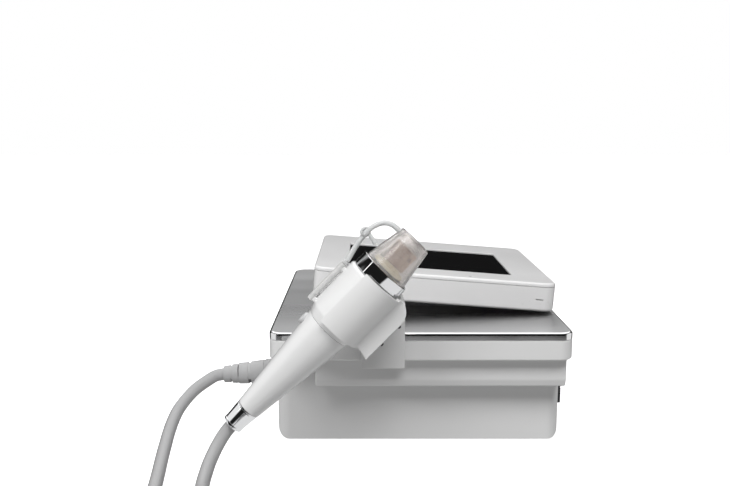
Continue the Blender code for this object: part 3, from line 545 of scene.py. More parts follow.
# ---------------------------------------------------------------- lid
# A pressed aluminium lid with a satin silver top and a brighter, polished rolled edge.
LID_ROLL = 0.0025
lid_satin = finish_of(
    "lid_satin", (0.560, 0.562, 0.566), 0.30, metallic=1.0, grain=0.0004, relief=0.06, patch=0.08,
    uneven=0.035, mottle=0.015, stretch=(0.06, 1.0, 1.0),
)
lid_polished = finish_of(
    "lid_polished", (0.720, 0.722, 0.726), 0.16, metallic=1.0, grain=0.0006, relief=0.03,
    patch=0.03,
    uneven=0.03, mottle=0.01,
)
lid = set_down(
    "lid", rounded_block(size_of("top_plate"), middle_of("top_plate"), 0.012, top=LID_ROLL),
    lid_satin,
)
lid_hollow = size_of("top_plate") - Vector((0.004, 0.004, 0.0))
combine(
    lid, "DIFFERENCE",
    cutter(
        "hollow", rounded_block(lid_hollow, middle_of("top_plate") - Vector((0, 0, 0.002)), 0.010)
    ),
)
lid.data.materials.append(lid_polished)
for face in lid.data.polygons:
    face.material_index = 0 if face.normal.z > 0.96 else 1
soften(lid, 0.0003, 2, above=50.0)
fit(lid, "console", "lid_metal", "top_plate")

# ---------------------------------------------------------------- grip rails
# A white rail under the rim along each long side, to lift the case by. Its lower edge slopes in.
RAIL_CREASE = 0.0658


def drawn_along(outline, depth):
    """A bmesh solid from an (x, z) outline, half of depth each way along y."""
    bm = bmesh.new()
    ring = [bm.verts.new((x, -depth / 2, z)) for x, z in outline]
    face = bm.faces.new(ring)
    pulled = bmesh.ops.extrude_face_region(bm, geom=[face])["geom"]
    bmesh.ops.translate(
        bm, vec=(0, depth, 0), verts=[v for v in pulled if isinstance(v, bmesh.types.BMVert)],
    )
    return bm


for node, side in (("grip_rail_near", -1), ("grip_rail_far", 1)):
    low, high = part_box(node)
    inner, outer = (high.y, low.y) if side < 0 else (low.y, high.y)
    outline = [
        (inner, high.z), (inner, low.z), (outer - side * 0.0022, low.z), (outer, RAIL_CREASE),
        (outer, high.z),
    ]
    rail = drawn_along(outline, high.x - low.x)
    across = Matrix.Translation(((low.x + high.x) / 2, 0, 0)) @ Matrix.Rotation(math.pi / 2, 4, "Z")
    across = across @ Matrix.Scale(-1, 4, (0, 1, 0))
    rail = set_down(node.replace("grip_rail", "carry_rail"), rail, case_white, across)
    soften(rail, 0.0014, 4, above=12.0)
    fit(rail, "console", "white_plastic", node)

# ---------------------------------------------------------------- feet
# Four pressed-in rubber feet with a rounded tread and a groove above it.
foot_rubber = finish_of(
    "foot_rubber", (0.028, 0.028, 0.030), 0.70, grain=0.0007, relief=0.30, patch=0.01, mottle=0.2,
)
for node in ("foot_rear_near", "foot_rear_far", "foot_front_near", "foot_front_far"):
    low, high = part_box(node)
    reach = (high.x - low.x) / 2
    profile = [
        (0.0, high.z), (reach, high.z), (reach, high.z - 0.0010), (reach - 0.0014, high.z - 0.0014),
        (reach - 0.0008, 0.0012), (reach - 0.0020, 0.0), (0.0, 0.0),
    ]
    place = Matrix.Translation(((low.x + high.x) / 2, (low.y + high.y) / 2, 0))
    foot = set_down(
        node.replace("foot", "rubber_foot"), turned(profile, 48, closed=False, rounding=0.0003),
        foot_rubber, place,
    )
    fit(foot, "console", "rubber", node)

# ---------------------------------------------------------------- pedal jack and its flap
# A 3.5 mm jack for a foot pedal in the operator's end, with a turned steel nose, and the soft
# black flap that hangs over it from a thin hinge strip.
nose_steel = finish_of(
    "nose_steel", (0.56, 0.56, 0.57), 0.30, metallic=1.0, grain=0.0004, relief=0.08, patch=0.004,
    uneven=0.08,
)
jack = turned(
    [(0.0, -0.0090), (0.00185, -0.0090), (0.00185, -0.0004), (0.0022, 0.0), (0.0046, 0.0),
     (0.0050, -0.0004), (0.0050, -0.0115), (0.0, -0.0115)], 48, closed=False,
)
jack = set_down("pedal_jack_nose", jack, nose_steel,
                Matrix.Translation(JACK) @ Matrix.Rotation(math.pi / 2, 4, "Y"))
fit(jack, "console", "steel", "pedal_jack")

flap_rubber = finish_of(
    "flap_rubber", (0.026, 0.026, 0.028), 0.58, grain=0.0006, relief=0.22, patch=0.008, mottle=0.2,
)
flap = set_down(
    "pedal_flap", rounded_block(size_of("port_flap"), middle_of("port_flap")), flap_rubber
)
flap_low, flap_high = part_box("port_flap")
groove = rounded_block((0.0014, 0.020, 0.0008), (flap_high.x, JACK.y, flap_high.z - 0.0024))
lift = rounded_block(
    (0.0012, 0.0060, 0.0016), (flap_high.x, JACK.y, flap_low.z + 0.0022), upright=0.0003
)
combine(flap, "DIFFERENCE", cutter("groove", groove), cutter("lift", lift))
soften(flap, 0.0005, 3)
fit(flap, "port_cover", "rubber", "port_flap")

# ---------------------------------------------------------------- rear panel
# A 1.5 mm steel panel with a grey powder coat, cut out for the socket, the fan, the inlet and
# the switch, and held by a screw in each corner.
panel_coat = finish_of(
    "panel_coat", (0.430, 0.432, 0.436), 0.52, metallic=0.35, grain=0.0009, relief=0.35, patch=0.03,
    mottle=0.03,
)
screw_steel = finish_of(
    "screw_steel", (0.50, 0.50, 0.51), 0.34, metallic=1.0, grain=0.0003, relief=0.10, patch=0.003,
    uneven=0.08,
)
outwards = Matrix.Rotation(-math.pi / 2, 4, "Y")
panel_middle = middle_of("rear_panel")


def hole(radius, y, z, depth=0.012):
    """A round cutter through the panel."""
    place = Matrix.Translation((panel_middle.x, y, z)) @ outwards
    return cutter("hole", rod(radius, depth / 2, 64), place)


socket_at = middle_of("lead_socket")
fan_at = middle_of("fan_guard")
inlet_at = middle_of("mains_inlet")
switch_at = middle_of("switch_bezel")
panel = set_down("rear_plate", rounded_block(size_of("rear_panel"), panel_middle), panel_coat)
combine(
    panel, "DIFFERENCE",
    hole(0.0080, socket_at.y, socket_at.z), hole(0.0180, fan_at.y, fan_at.z),
    cutter("hole", rounded_block((0.010, 0.0276, 0.0306), (panel_middle.x, inlet_at.y, PANEL_Z))),
    cutter("hole", rounded_block((0.010, 0.0130, 0.0190), (panel_middle.x, switch_at.y, PANEL_Z))),
)
soften(panel, 0.0003, 2)
fit(panel, "console", "sheet_metal", "rear_panel")


def cross_screw(name, radius, place):
    """A pan-head screw with a cross recess, standing on the XY plane."""
    head = turned(
        [(0.0, radius * 0.62), (radius * 0.45, radius * 0.58), (radius * 0.85, radius * 0.36),
         (radius, 0.0), (0.0, 0.0)], 32, closed=False, rounding=radius * 0.06,
    )
    head = set_down(name, head, screw_steel)
    blades = []
    for turn in (20, 110):
        blade = rounded_block((radius * 1.1, radius * 0.22, radius * 0.5), (0, 0, radius * 0.62))
        blades.append(cutter("blade", blade, Matrix.Rotation(math.radians(turn), 4, "Z")))
    combine(head, "DIFFERENCE", *blades)
    head.data.transform(place)
    return head


for i, (y, z) in enumerate(((-0.064, 0.0218), (-0.064, 0.0682), (0.124, 0.0218), (0.124, 0.0682))):
    place = Matrix.Translation((PANEL_OUTER_X, y, z)) @ outwards
    fit(cross_screw(f"panel_screw_{i + 1}", 0.0026, place), "console", "steel")

# ---------------------------------------------------------------- lead socket
# A round steel socket for the lead's plug, pulled tight on the panel by a flanged ring nut.
SOCKET_PROFILE = [
    (0.0, 0.0010), (0.0062, 0.0010), (0.0062, 0.0044), (0.0066, 0.0047), (0.0082, 0.0047),
    (0.0086, 0.0043), (0.0086, 0.0016), (0.0098, 0.0014), (0.0098, 0.0003), (0.0077, 0.0003),
    (0.0077, -0.0100), (0.0, -0.0100),
]
socket = set_down("lead_socket_ring", turned(SOCKET_PROFILE, 64, closed=False), nose_steel)
notches = []
for i in range(12):
    notch = rounded_block((0.0012, 0.0011, 0.0036), (0.0088, 0, 0.0032))
    notches.append(cutter("notch", notch, Matrix.Rotation(i * math.pi / 6, 4, "Z")))
combine(socket, "DIFFERENCE", *notches)
socket.data.transform(Matrix.Translation((PANEL_OUTER_X, socket_at.y, 0.058)) @ outwards)
soften(socket, 0.00015, 2)
fit(socket, "console", "steel", "lead_socket")

# ---------------------------------------------------------------- fan and its guard
# A 40 mm fan inside the panel behind a pressed steel guard with seven round-ended slots, held by
# four screws.
guard_low, guard_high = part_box("fan_guard")
guard = set_down(
    "fan_finger_guard", rounded_block(guard_high - guard_low, (guard_low + guard_high) / 2),
    panel_coat,
)
slots = []
for i in range(-3, 4):
    height = 0.0052 * i
    wide = 2 * math.sqrt(0.0175**2 - height**2)
    slot = rounded_block((0.0034, wide, 0.006), upright=0.00169, segments=6)
    place = Matrix.Translation((fan_at.x, fan_at.y, fan_at.z + height)) @ outwards
    slots.append(cutter("slot", slot, place))
combine(guard, "DIFFERENCE", *slots)
soften(guard, 0.0002, 2)
fit(guard, "console", "sheet_metal", "fan_guard")
for i, (side, rise) in enumerate(((-1, -1), (-1, 1), (1, -1), (1, 1))):
    place = Matrix.Translation((guard_low.x, fan_at.y + side * 0.0172, fan_at.z + rise * 0.0172))
    fit(cross_screw(f"guard_screw_{i + 1}", 0.0018, place @ outwards), "console", "steel")

fan_black = finish_of(
    "fan_black", (0.024, 0.024, 0.026), 0.42, grain=0.0006, relief=0.12, patch=0.01, mottle=0.15,
)


def dress(node, finish):
    """Gives a solid that is shown as it stands its own finish."""
    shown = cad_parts[node]
    shown.data.materials.clear()
    shown.data.materials.append(finish)


dress("fan_frame", fan_black)
dress("fan_rotor", fan_black)

# ---------------------------------------------------------------- mains inlet and fuse drawer
# A black moulded inlet with three nickel-plated pins in its well and a drawer for the fuses below
# them in the same moulding.
FLANGE_X = -0.1088
PIN_Z = 0.0500
moulded_black = finish_of(
    "moulded_black", (0.022, 0.022, 0.024), 0.40, grain=0.0006, relief=0.14, patch=0.008,
    mottle=0.15,
)
pin_nickel = finish_of(
    "pin_nickel", (0.62, 0.60, 0.56), 0.22, metallic=1.0, grain=0.0003, relief=0.06, patch=0.003,
)
inlet = set_down(
    "mains_inlet_body", rounded_block(
        (0.0350, 0.0310, 0.0016), upright=0.0030, top=0.0005, segments=4
    ),
    moulded_black, Matrix.Translation((FLANGE_X, inlet_at.y, PANEL_Z)) @ outwards,
)
rear = rounded_block((0.0180, 0.0270, 0.0300), (FLANGE_X + 0.0086, inlet_at.y, PANEL_Z))
rear = set_down("rear", rear, moulded_black)
combine(inlet, "UNION", rear)
well = cutter(
    "well", rounded_block((0.0160, 0.0236, 0.0150), upright=0.0020, segments=4),
    Matrix.Translation((FLANGE_X + 0.0060, inlet_at.y, PIN_Z)) @ outwards
)
drawer_slot = cutter(
    "slot", rounded_block((0.0220, 0.0212, 0.0068), (FLANGE_X + 0.0050, inlet_at.y, 0.0358))
)
combine(inlet, "DIFFERENCE", well, drawer_slot)
soften(inlet, 0.0003, 2)
fit(inlet, "console", "black_plastic", "mains_inlet")
for i, (y, z) in enumerate(((-0.007, -0.002), (0.0, 0.002), (0.007, -0.002))):
    pin = rounded_block((0.0045, 0.0020, 0.0125), top=0.0006, segments=3)
    place = Matrix.Translation((FLANGE_X + 0.0086, inlet_at.y + y, PIN_Z + z)) @ outwards
    pin = set_down(f"mains_pin_{i + 1}", pin, pin_nickel, place)
    fit(pin, "console", "steel")

drawer_grey = finish_of(
    "drawer_grey", (0.060, 0.060, 0.064), 0.45, grain=0.0005, relief=0.14, patch=0.006, mottle=0.1,
)
drawer = rounded_block(size_of("fuse_drawer"), middle_of("fuse_drawer"))
drawer = set_down("fuse_drawer_body", drawer, drawer_grey)
drawer_low, drawer_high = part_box("fuse_drawer")
nick = cutter(
    "nick", rounded_block((0.0016, 0.0060, 0.0014), (drawer_low.x, inlet_at.y, drawer_high.z))
)
combine(drawer, "DIFFERENCE", nick)
soften(drawer, 0.0004, 2)
fit(drawer, "fuse_holder", "grey_plastic", "fuse_drawer")

# ---------------------------------------------------------------- power switch
# A black snap-in rocker switch. The rocker has a shallow dished face with a bar and a ring
# inlaid in white for on and off.
bezel = set_down(
    "switch_bezel_frame", rounded_block(
        (0.0210, 0.0150, 0.0016), upright=0.0015, top=0.0006, segments=4
    ),
    moulded_black, Matrix.Translation((FLANGE_X, switch_at.y, PANEL_Z)) @ outwards,
)
rear = rounded_block((0.0130, 0.0124, 0.0184), (FLANGE_X + 0.0060, switch_at.y, PANEL_Z))
rear = set_down("rear", rear, moulded_black)
combine(bezel, "UNION", rear)
well = cutter(
    "well", rounded_block((0.0130, 0.0100, 0.0164), (FLANGE_X + 0.0035, switch_at.y, PANEL_Z))
)
combine(bezel, "DIFFERENCE", well)
soften(bezel, 0.00025, 2)
fit(bezel, "console", "black_plastic", "switch_bezel")

ROCKER_AT = Vector((-0.1055, 0.1120, 0.0450))
rocker_turn = Matrix.Translation(ROCKER_AT) @ Matrix.Rotation(math.radians(8), 4, "Y")
rocker = set_down("rocker_cap", rounded_block((0.0070, 0.0092, 0.0144)), moulded_black)
dish = rod(0.0298, 0.0060, 160)
dish = cutter(
    "dish", dish, Matrix.Translation((-0.0329, 0, 0)) @ Matrix.Rotation(math.pi / 2, 4, "X")
)
combine(rocker, "DIFFERENCE", dish)
rocker.data.transform(rocker_turn)
soften(rocker, 0.0004, 2)
fit(rocker, "rocker", "black_plastic", "power_rocker")
mark_white = finish_of(
    "mark_white", (0.72, 0.72, 0.72), 0.5, grain=0.0004, relief=0.1, patch=0.004,
)
bar = rounded_block((0.0004, 0.0005, 0.0026), (-0.0034, 0, 0.0044))
bar = set_down("rocker_on_mark", bar, mark_white, rocker_turn)
ring = turned([(0.0013, 0.0002), (0.0013, -0.0002), (0.0009, -0.0002), (0.0009, 0.0002)], 40)
ring = set_down("rocker_off_mark", ring, mark_white,
                rocker_turn @ Matrix.Translation((-0.0034, 0, -0.0044)) @ outwards)
fit(bar, "rocker", "white_plastic")
fit(ring, "rocker", "white_plastic")

# ---------------------------------------------------------------- inside the case
# A galvanised chassis plate with the power supply, the green generator board, a copper-wound
# output transformer and a finned aluminium heat sink, none of which shows with the lid on.
zinc = finish_of(
    "zinc_plate", (0.52, 0.53, 0.55), 0.38, metallic=1.0, grain=0.0040, relief=0.05, patch=0.012,
    uneven=0.12, mottle=0.10,
)
board_green = finish_of(
    "board_green", (0.020, 0.150, 0.060), 0.38, grain=0.0008, relief=0.15, patch=0.004, mottle=0.25,
)
winding = finish_of(
    "copper_winding", (0.460, 0.180, 0.070), 0.36, metallic=0.8, grain=0.0008, relief=0.5,
    patch=0.01,
    mottle=0.2, stretch=(1.0, 1.0, 0.05),
)
fin_aluminium = finish_of(
    "fin_aluminium", (0.66, 0.66, 0.67), 0.34, metallic=1.0, grain=0.0006, relief=0.12, patch=0.01,
    stretch=(0.08, 1.0, 1.0),
)
dress("chassis_plate", zinc)
dress("power_supply", zinc)
dress("generator_board", board_green)
dress("output_transformer", winding)
dress("heat_sink", fin_aluminium)

# ---------------------------------------------------------------- display
# A touch display as wide as a small tablet: a deep white back shell and a front frame that
# closes it, with rounded corners and a softly rolled front edge. It tilts up on the lid's hinge.
HINGE = Vector((0.1405, 0.0515, 0.1150))
TILT = math.radians(4.3)
DISPLAY_LENGTH = 0.2240
DISPLAY_DEPTH = 0.2020
DISPLAY_LOW = -0.0035
DISPLAY_SEAM = 0.0195
DISPLAY_HIGH = 0.0235
SEAM_GAP = 0.0003
SCREEN = (-0.1125, -0.0095)
SCREEN_LENGTH = 0.1560
SCREEN_DEPTH = 0.1210
display_place = Matrix.Translation(HINGE) @ Matrix.Rotation(TILT, 4, "Y")
display_x = 0.0025 - DISPLAY_LENGTH / 2
display_white = finish_of(
    "display_white", (0.860, 0.857, 0.858), 0.30, grain=0.0005, relief=0.06, patch=0.05,
    uneven=0.03,
    mottle=0.006, coat_weight=0.25, coat_roughness=0.18,
)
back_height = DISPLAY_SEAM - DISPLAY_LOW
back = set_down(
    "display_back", rounded_block(
        (DISPLAY_LENGTH, DISPLAY_DEPTH, back_height), (display_x, 0, DISPLAY_LOW + back_height / 2),
        0.010, floor=0.003, segments=10), display_white,
)
combine(
    back, "DIFFERENCE",
    cutter("hollow", rounded_block((0.2018, 0.1976, 0.023), (-0.1184, 0, 0.0102), 0.004)),
    cutter("hollow_front", rounded_block((0.0300, 0.1956, 0.020), (-0.0147, 0, 0.0165), 0.004)),
    cutter("hinge_notch", rounded_block((0.0240, 0.0710, 0.0100), (-0.0065, 0, -0.0008), 0.001)),
    cutter(
        "card_slot", rounded_block((0.0070, 0.0040, 0.0010), (-0.0125, -DISPLAY_DEPTH / 2, 0.0078))
    ),
)
back.data.transform(display_place)
soften(back, 0.0003, 2)
fit(back, "display", "white_plastic", "display_back_shell")

front_height = DISPLAY_HIGH - DISPLAY_SEAM - SEAM_GAP
front = set_down(
    "display_front", rounded_block(
        (DISPLAY_LENGTH, DISPLAY_DEPTH, front_height),
        (display_x, 0, DISPLAY_HIGH - front_height / 2),
        0.010, top=0.0021, segments=10), display_white,
)
window = rounded_block(
    (SCREEN_LENGTH, SCREEN_DEPTH, 0.020), (*SCREEN, DISPLAY_HIGH), 0.0008, segments=3
)
combine(front, "DIFFERENCE", cutter("window", window))
front.data.transform(display_place)
soften(front, 0.00045, 3, above=45.0)
fit(front, "display", "white_plastic", "display_front_frame")

# ---------------------------------------------------------------- screen
# One sheet of black-backed touch glass, set a millimetre down in the frame's window, over the
# metal-backed liquid-crystal panel and the display's board.
screen_black = finish_of(
    "screen_black", (0.0035, 0.0034, 0.0038), 0.06, grain=0.0040, relief=0.004, patch=0.06,
    uneven=0.02, mottle=0.2, coat_weight=0.5, coat_roughness=0.03, ior=1.52,
)
glass = rounded_block(
    (SCREEN_LENGTH - 2 * SEAM_GAP, SCREEN_DEPTH - 2 * SEAM_GAP, 0.0027),
    (*SCREEN, DISPLAY_SEAM + SEAM_GAP + 0.00135), 0.0006, top=0.0003, segments=3,
)
fit(
    set_down("touch_glass", glass, screen_black, display_place), "display", "screen_black",
    "screen_glass"
)
dress("lcd_panel", zinc)
dress("display_board", board_green)
rest_rubber = finish_of(
    "rest_rubber", (0.030, 0.030, 0.032), 0.66, grain=0.0007, relief=0.25, patch=0.01, mottle=0.2,
)
pad = rounded_block(
    (0.0060, 0.1200, 0.0009), (-0.2050, 0, -0.00425), 0.0028, floor=0.0003, segments=5
)
fit(
    set_down("rest_strip", pad, rest_rubber, display_place), "display", "rubber", "display_rest_pad"
)

# ---------------------------------------------------------------- hinge
# A turned steel hinge: two knuckles on a plate screwed to the lid, a third on the display's
# leaf between them, and one pin through all three.
KNUCKLE = 0.0034
KNUCKLE_LONG = 0.0170
MIDDLE_LONG = 0.0332
HINGE_BORE = 0.0018
hinge_steel = finish_of(
    "hinge_steel", (0.47, 0.47, 0.48), 0.32, metallic=1.0, grain=0.0005, relief=0.10, patch=0.006,
    uneven=0.07,
)
across = Matrix.Rotation(math.pi / 2, 4, "X")


def knuckle(name, length, at, bored=HINGE_BORE):
    """A turned and bored hinge knuckle along Y."""
    half = length / 2
    profile = [(bored, half), (KNUCKLE, half), (KNUCKLE, -half), (bored, -half)]
    return set_down(name, turned(profile, 48, rounding=0.0002), hinge_steel,
                    Matrix.Translation(HINGE + Vector(at)) @ across)


plate = set_down(
    "hinge_plate", rounded_block(
        (0.0120, 0.0680, 0.0012), HINGE + Vector((-0.0100, 0, -0.0041)), 0.001
    ),
    hinge_steel,
)
for side in (-1, 1):
    at = side * (MIDDLE_LONG / 2 + SEAM_GAP + KNUCKLE_LONG / 2)
    gusset = rounded_block(
        (0.0054, KNUCKLE_LONG - 0.0006, 0.0041), HINGE + Vector((-0.0034, at, -0.00215))
    )
    bore = rod(HINGE_BORE, 0.012, 32)
    gusset = set_down("gusset", gusset, hinge_steel)
    combine(gusset, "DIFFERENCE",
            cutter("bore", bore, Matrix.Translation(HINGE + Vector((0, at, 0))) @ across))
    combine(plate, "UNION", knuckle("knuckle", KNUCKLE_LONG, (0, at, 0)), gusset)
fit(plate, "console", "steel", "hinge_base")
leaf = rounded_block((0.0130, MIDDLE_LONG, 0.0016), (-0.0070, 0, 0.0024))
bore = rod(HINGE_BORE, 0.02, 32)
leaf = set_down("leaf", leaf, hinge_steel, display_place)
combine(leaf, "DIFFERENCE", cutter("bore", bore, Matrix.Translation(HINGE) @ across))
middle = knuckle("hinge_middle_knuckle", MIDDLE_LONG, (0, 0, 0))
combine(middle, "UNION", leaf)
fit(middle, "display", "steel", "hinge_arm")
pin = rod(0.0015, 0.0335, 32, 0.0003)
fit(set_down("hinge_pin_rod", pin, hinge_steel, Matrix.Translation(HINGE) @ across),
    "console", "steel", "hinge_pin")

# ---------------------------------------------------------------- cradle
# A white moulded sleeve, open along its upper left, on a block that flows out of its side and is
# fixed to a plate on the rim. Two small screws show in the block's lower face.
SLEEVE_LOW = 0.1180
SLEEVE_HIGH = 0.1689
SLEEVE_INNER = 0.0244
SLEEVE_OUTER = 0.0270
SLEEVE_LIP = 0.0234
SLEEVE_MOUTH = math.radians(126)
BLOCK_NEAR = -0.0115
BLOCK_FAR = 0.0314
COVE = 0.0050
cradle_white = finish_of(
    "cradle_white", (0.815, 0.815, 0.812), 0.33, grain=0.0005, relief=0.07, patch=0.03, uneven=0.04,
    mottle=0.006, coat_weight=0.20, coat_roughness=0.20,
)
plate_low, plate_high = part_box("cradle_plate")
plate = rounded_block(plate_high - plate_low, (plate_low + plate_high) / 2)
plate = set_down("cradle_back_plate", plate, cradle_white)
soften(plate, 0.0005, 3)
fit(plate, "console", "white_plastic", "cradle_plate")

sleeve = turned(
    [(0.0, SLEEVE_HIGH), (SLEEVE_OUTER, SLEEVE_HIGH), (SLEEVE_OUTER, SLEEVE_LOW),
     (0.0, SLEEVE_LOW)],
    160, closed=False,
)
sleeve = set_down("cradle_holder", sleeve, cradle_white)
cove_away = SLEEVE_OUTER + COVE
cove_x = math.sqrt(cove_away**2 - (BLOCK_NEAR - COVE) ** 2)
cove_from = math.atan2(COVE - BLOCK_NEAR, -cove_x)
across_block = [(0.0100, BLOCK_FAR), (0.0100, (BLOCK_NEAR - COVE) * SLEEVE_OUTER / cove_away)]
for i in range(11):
    angle = cove_from + (math.pi / 2 - cove_from) * i / 10
    across_block.append(
        (cove_x + COVE * math.cos(angle), BLOCK_NEAR - COVE + COVE * math.sin(angle))
    )
across_block += [(0.0372, BLOCK_NEAR), (0.0390, BLOCK_NEAR + 0.0018), (0.0390, BLOCK_FAR)]
cove_block = drawn_along(across_block, 0.060)
cove_block = set_down(
    "cove_block", cove_block, cradle_white,
    Matrix.Translation((0, 0, 0.1440)) @ Matrix.Rotation(-math.pi / 2, 4, "X"),
)
side_outline = [
    (0.0050, 0.1705), (0.0250, 0.1705), (0.0290, 0.1698), (0.0322, 0.1680), (0.0350, 0.1650),
    (0.0367, 0.1615), (0.0372, 0.1570), (0.0377, 0.1172), (0.0332, 0.1188), (0.0280, 0.1196),
    (0.0050, 0.1200),
]
side_cut = set_down("side_cut", drawn_along(side_outline, 0.080), cradle_white)
combine(cove_block, "INTERSECT", side_cut)
combine(sleeve, "UNION", cove_block)
bore = turned(
    [(0.0, SLEEVE_HIGH + 0.01), (SLEEVE_INNER, SLEEVE_HIGH + 0.01),
     (SLEEVE_INNER, SLEEVE_LOW + 0.0017), (SLEEVE_LIP, SLEEVE_LOW + 0.0017),
     (SLEEVE_LIP, SLEEVE_LOW - 0.01), (0.0, SLEEVE_LOW - 0.01)],
    160, closed=False,
)
spread = 0.040 * math.tan(SLEEVE_MOUTH / 2)
mouth = drawn_along([(0.0, 0.0), (-0.040, spread), (-0.040, -spread)], 0.072)
mouth_place = Matrix.Translation((0, 0, (SLEEVE_LOW + SLEEVE_HIGH) / 2))
mouth_place = mouth_place @ Matrix.Rotation(math.pi / 2, 4, "X")
combine(sleeve, "DIFFERENCE", cutter("bore", bore), cutter("mouth", mouth, mouth_place))
sleeve.data.transform(handpiece_place)
soften(sleeve, 0.0005, 3)
fit(sleeve, "console", "white_plastic", "cradle_sleeve")
# Near-black colour for the two screws in the block's lower face, standing for the shade that falls
# on that face: painted shade.
screw_painted_shade = finish_of(
    "screw_painted_shade", (0.045, 0.045, 0.047), 0.42, metallic=0.6, grain=0.0003, relief=0.15,
    patch=0.003,
    mottle=0.10,
)
for i, height in enumerate((0.1347, 0.1544)):
    place = handpiece_place @ Matrix.Translation((0.0383, -0.0096, height)) @ Matrix.Rotation(
        math.pi / 2, 4, "Y")
    screw = cross_screw(f"cradle_screw_head_{i + 1}", 0.0016, place)
    # The screws' steel is swapped for the near-black painted shade.
    screw.data.materials[0] = screw_painted_shade
    fit(screw, "console", "steel", f"cradle_screw_{i + 1}")

# ---------------------------------------------------------------- handpiece shell
# The white body of the handpiece: a tapered grip and a wider head, each turned with a thin wall,
# in a harder and glossier plastic than the case.
handpiece_white = finish_of(
    "handpiece_white", (0.845, 0.845, 0.843), 0.24, grain=0.0006, relief=0.03, patch=0.04,
    uneven=0.03,
    mottle=0.005, coat_weight=0.45, coat_roughness=0.10,
)
GRIP_PROFILE = [
    (0.02035, 0.1133), (0.0205, 0.1130), (0.0155, 0.0670), (0.0121, 0.0360), (0.01040, 0.0203),
    (0.01025, 0.0197), (0.0083, 0.0197), (0.0135, 0.0670), (0.0185, 0.1133),
]
grip = set_down("grip", turned(GRIP_PROFILE, 128), handpiece_white)
button_hole = rod(0.0053, 0.007, 48)
BUTTON_AT = 0.105
button_place = Matrix.Translation((0, 0, BUTTON_AT)) @ Matrix.Rotation(-math.pi / 2, 4, "Y")
combine(
    grip, "DIFFERENCE", cutter(
        "button_hole", button_hole, button_place @ Matrix.Translation((0, 0, 0.019))
    )
)
grip.data.transform(handpiece_place)
soften(grip, 0.0003, 2)
fit(grip, "handpiece", "white_plastic", "grip_shell")

HEAD_PROFILE = [
    (0.0214, 0.1663), (0.0226, 0.1660), (0.0235, 0.1652), (0.0240, 0.1638), (0.0240, 0.1232),
    (0.02385, 0.1218), (0.0235, 0.1207), (0.0230, 0.1196), (0.0222, 0.1174), (0.0206, 0.1136),
    (0.0190, 0.1136),
    (0.0212, 0.1175), (0.0215, 0.1210), (0.0215, 0.1640), (0.0200, 0.1663),
]
fit(set_down("head", turned(HEAD_PROFILE, 128), handpiece_white, handpiece_place),
    "handpiece", "white_plastic", "head_shell")

# ---------------------------------------------------------------- ferrule and chrome ring
# Two chromed brass turnings: the tapered ferrule that grips the lead, with a bead at its mouth,
# and the ring that the clear tip is pushed up to.
chrome = finish_of(
    "chrome_plate", (0.800, 0.805, 0.815), 0.05, metallic=1.0, grain=0.0030, relief=0.01,
    patch=0.01,
    uneven=0.02, mottle=0.01,
)
FERRULE_PROFILE = [
    (0.0082, 0.0), (0.0088, 0.0004), (0.00905, 0.0012), (0.00895, 0.0021), (0.00870, 0.0026),
    (0.00885, 0.0031), (0.01005, 0.0176), (0.00985, 0.0179), (0.00985, 0.0183), (0.01020, 0.0186),
    (0.01025, 0.0191), (0.01010, 0.0194), (0.0061, 0.0194), (0.0061, 0.0),
]
fit(set_down("lead_ferrule", turned(FERRULE_PROFILE, 96), chrome, handpiece_place),
    "handpiece", "chrome", "ferrule")
RING_PROFILE = [
    (0.0213, 0.1786), (0.0217, 0.1784), (0.0219, 0.1780), (0.0219, 0.1672), (0.0217, 0.1668),
    (0.0213, 0.1666), (0.0170, 0.1666), (0.0170, 0.1786),
]
fit(set_down("head_ring", turned(RING_PROFILE, 128), chrome, handpiece_place),
    "handpiece", "chrome", "chrome_ring")

# ---------------------------------------------------------------- trigger
# A round grey button in the back of the grip, dished for a fingertip, over its switch board.
button_grey = finish_of(
    "button_grey", (0.620, 0.622, 0.625), 0.42, grain=0.0004, relief=0.16, patch=0.005, mottle=0.03,
)
BUTTON_PROFILE = [
    (0.0, 0.0212), (0.0020, 0.0213), (0.0034, 0.0216), (0.0043, 0.0217), (0.0049, 0.0212),
    (0.0050, 0.0200), (0.0050, 0.0157), (0.0062, 0.0157), (0.0062, 0.0145), (0.0, 0.0145),
]
fit(set_down("trigger_cap", turned(BUTTON_PROFILE, 64, closed=False), button_grey,
             handpiece_place @ button_place), "trigger", "grey_plastic", "trigger_button")
dress("trigger_board", board_green)
dress("lead_clamp", moulded_black)
dress("transducer_stack", hinge_steel)

# ---------------------------------------------------------------- guide tube and its collar
# The suction line's stiff, smoky clear tube along the head's back, on two small white saddles,
# with the grey collar that the soft hose plugs into.
GUIDE_OUT = 0.0273
smoky_clear = finish_of(
    "smoky_clear", (0.880, 0.855, 0.838), 0.16, grain=0.0012, relief=0.14, patch=0.004, uneven=0.10,
    mottle=0.08, transmission_weight=0.84, ior=1.36, coat_weight=0.3, coat_roughness=0.05,
)
guide_clear = finish_of(
    "guide_clear", (0.870, 0.868, 0.862), 0.20, grain=0.0010, relief=0.05, patch=0.006, uneven=0.06,
    mottle=0.05, transmission_weight=0.35, ior=1.45, coat_weight=0.5, coat_roughness=0.06,
)
GUIDE_LOW, GUIDE_HIGH = 0.1195, 0.1591
GUIDE_PROFILE = [
    (0.0026, GUIDE_HIGH), (0.0026, GUIDE_LOW), (0.0013, GUIDE_LOW), (0.0013, GUIDE_HIGH),
]
guide = turned(GUIDE_PROFILE, 48, rounding=0.0003)
guide_place = handpiece_place @ Matrix.Translation((-GUIDE_OUT, 0, 0))
fit(
    set_down("guide_tube", guide, guide_clear, guide_place), "handpiece", "smoky_clear",
    "tube_guide"
)
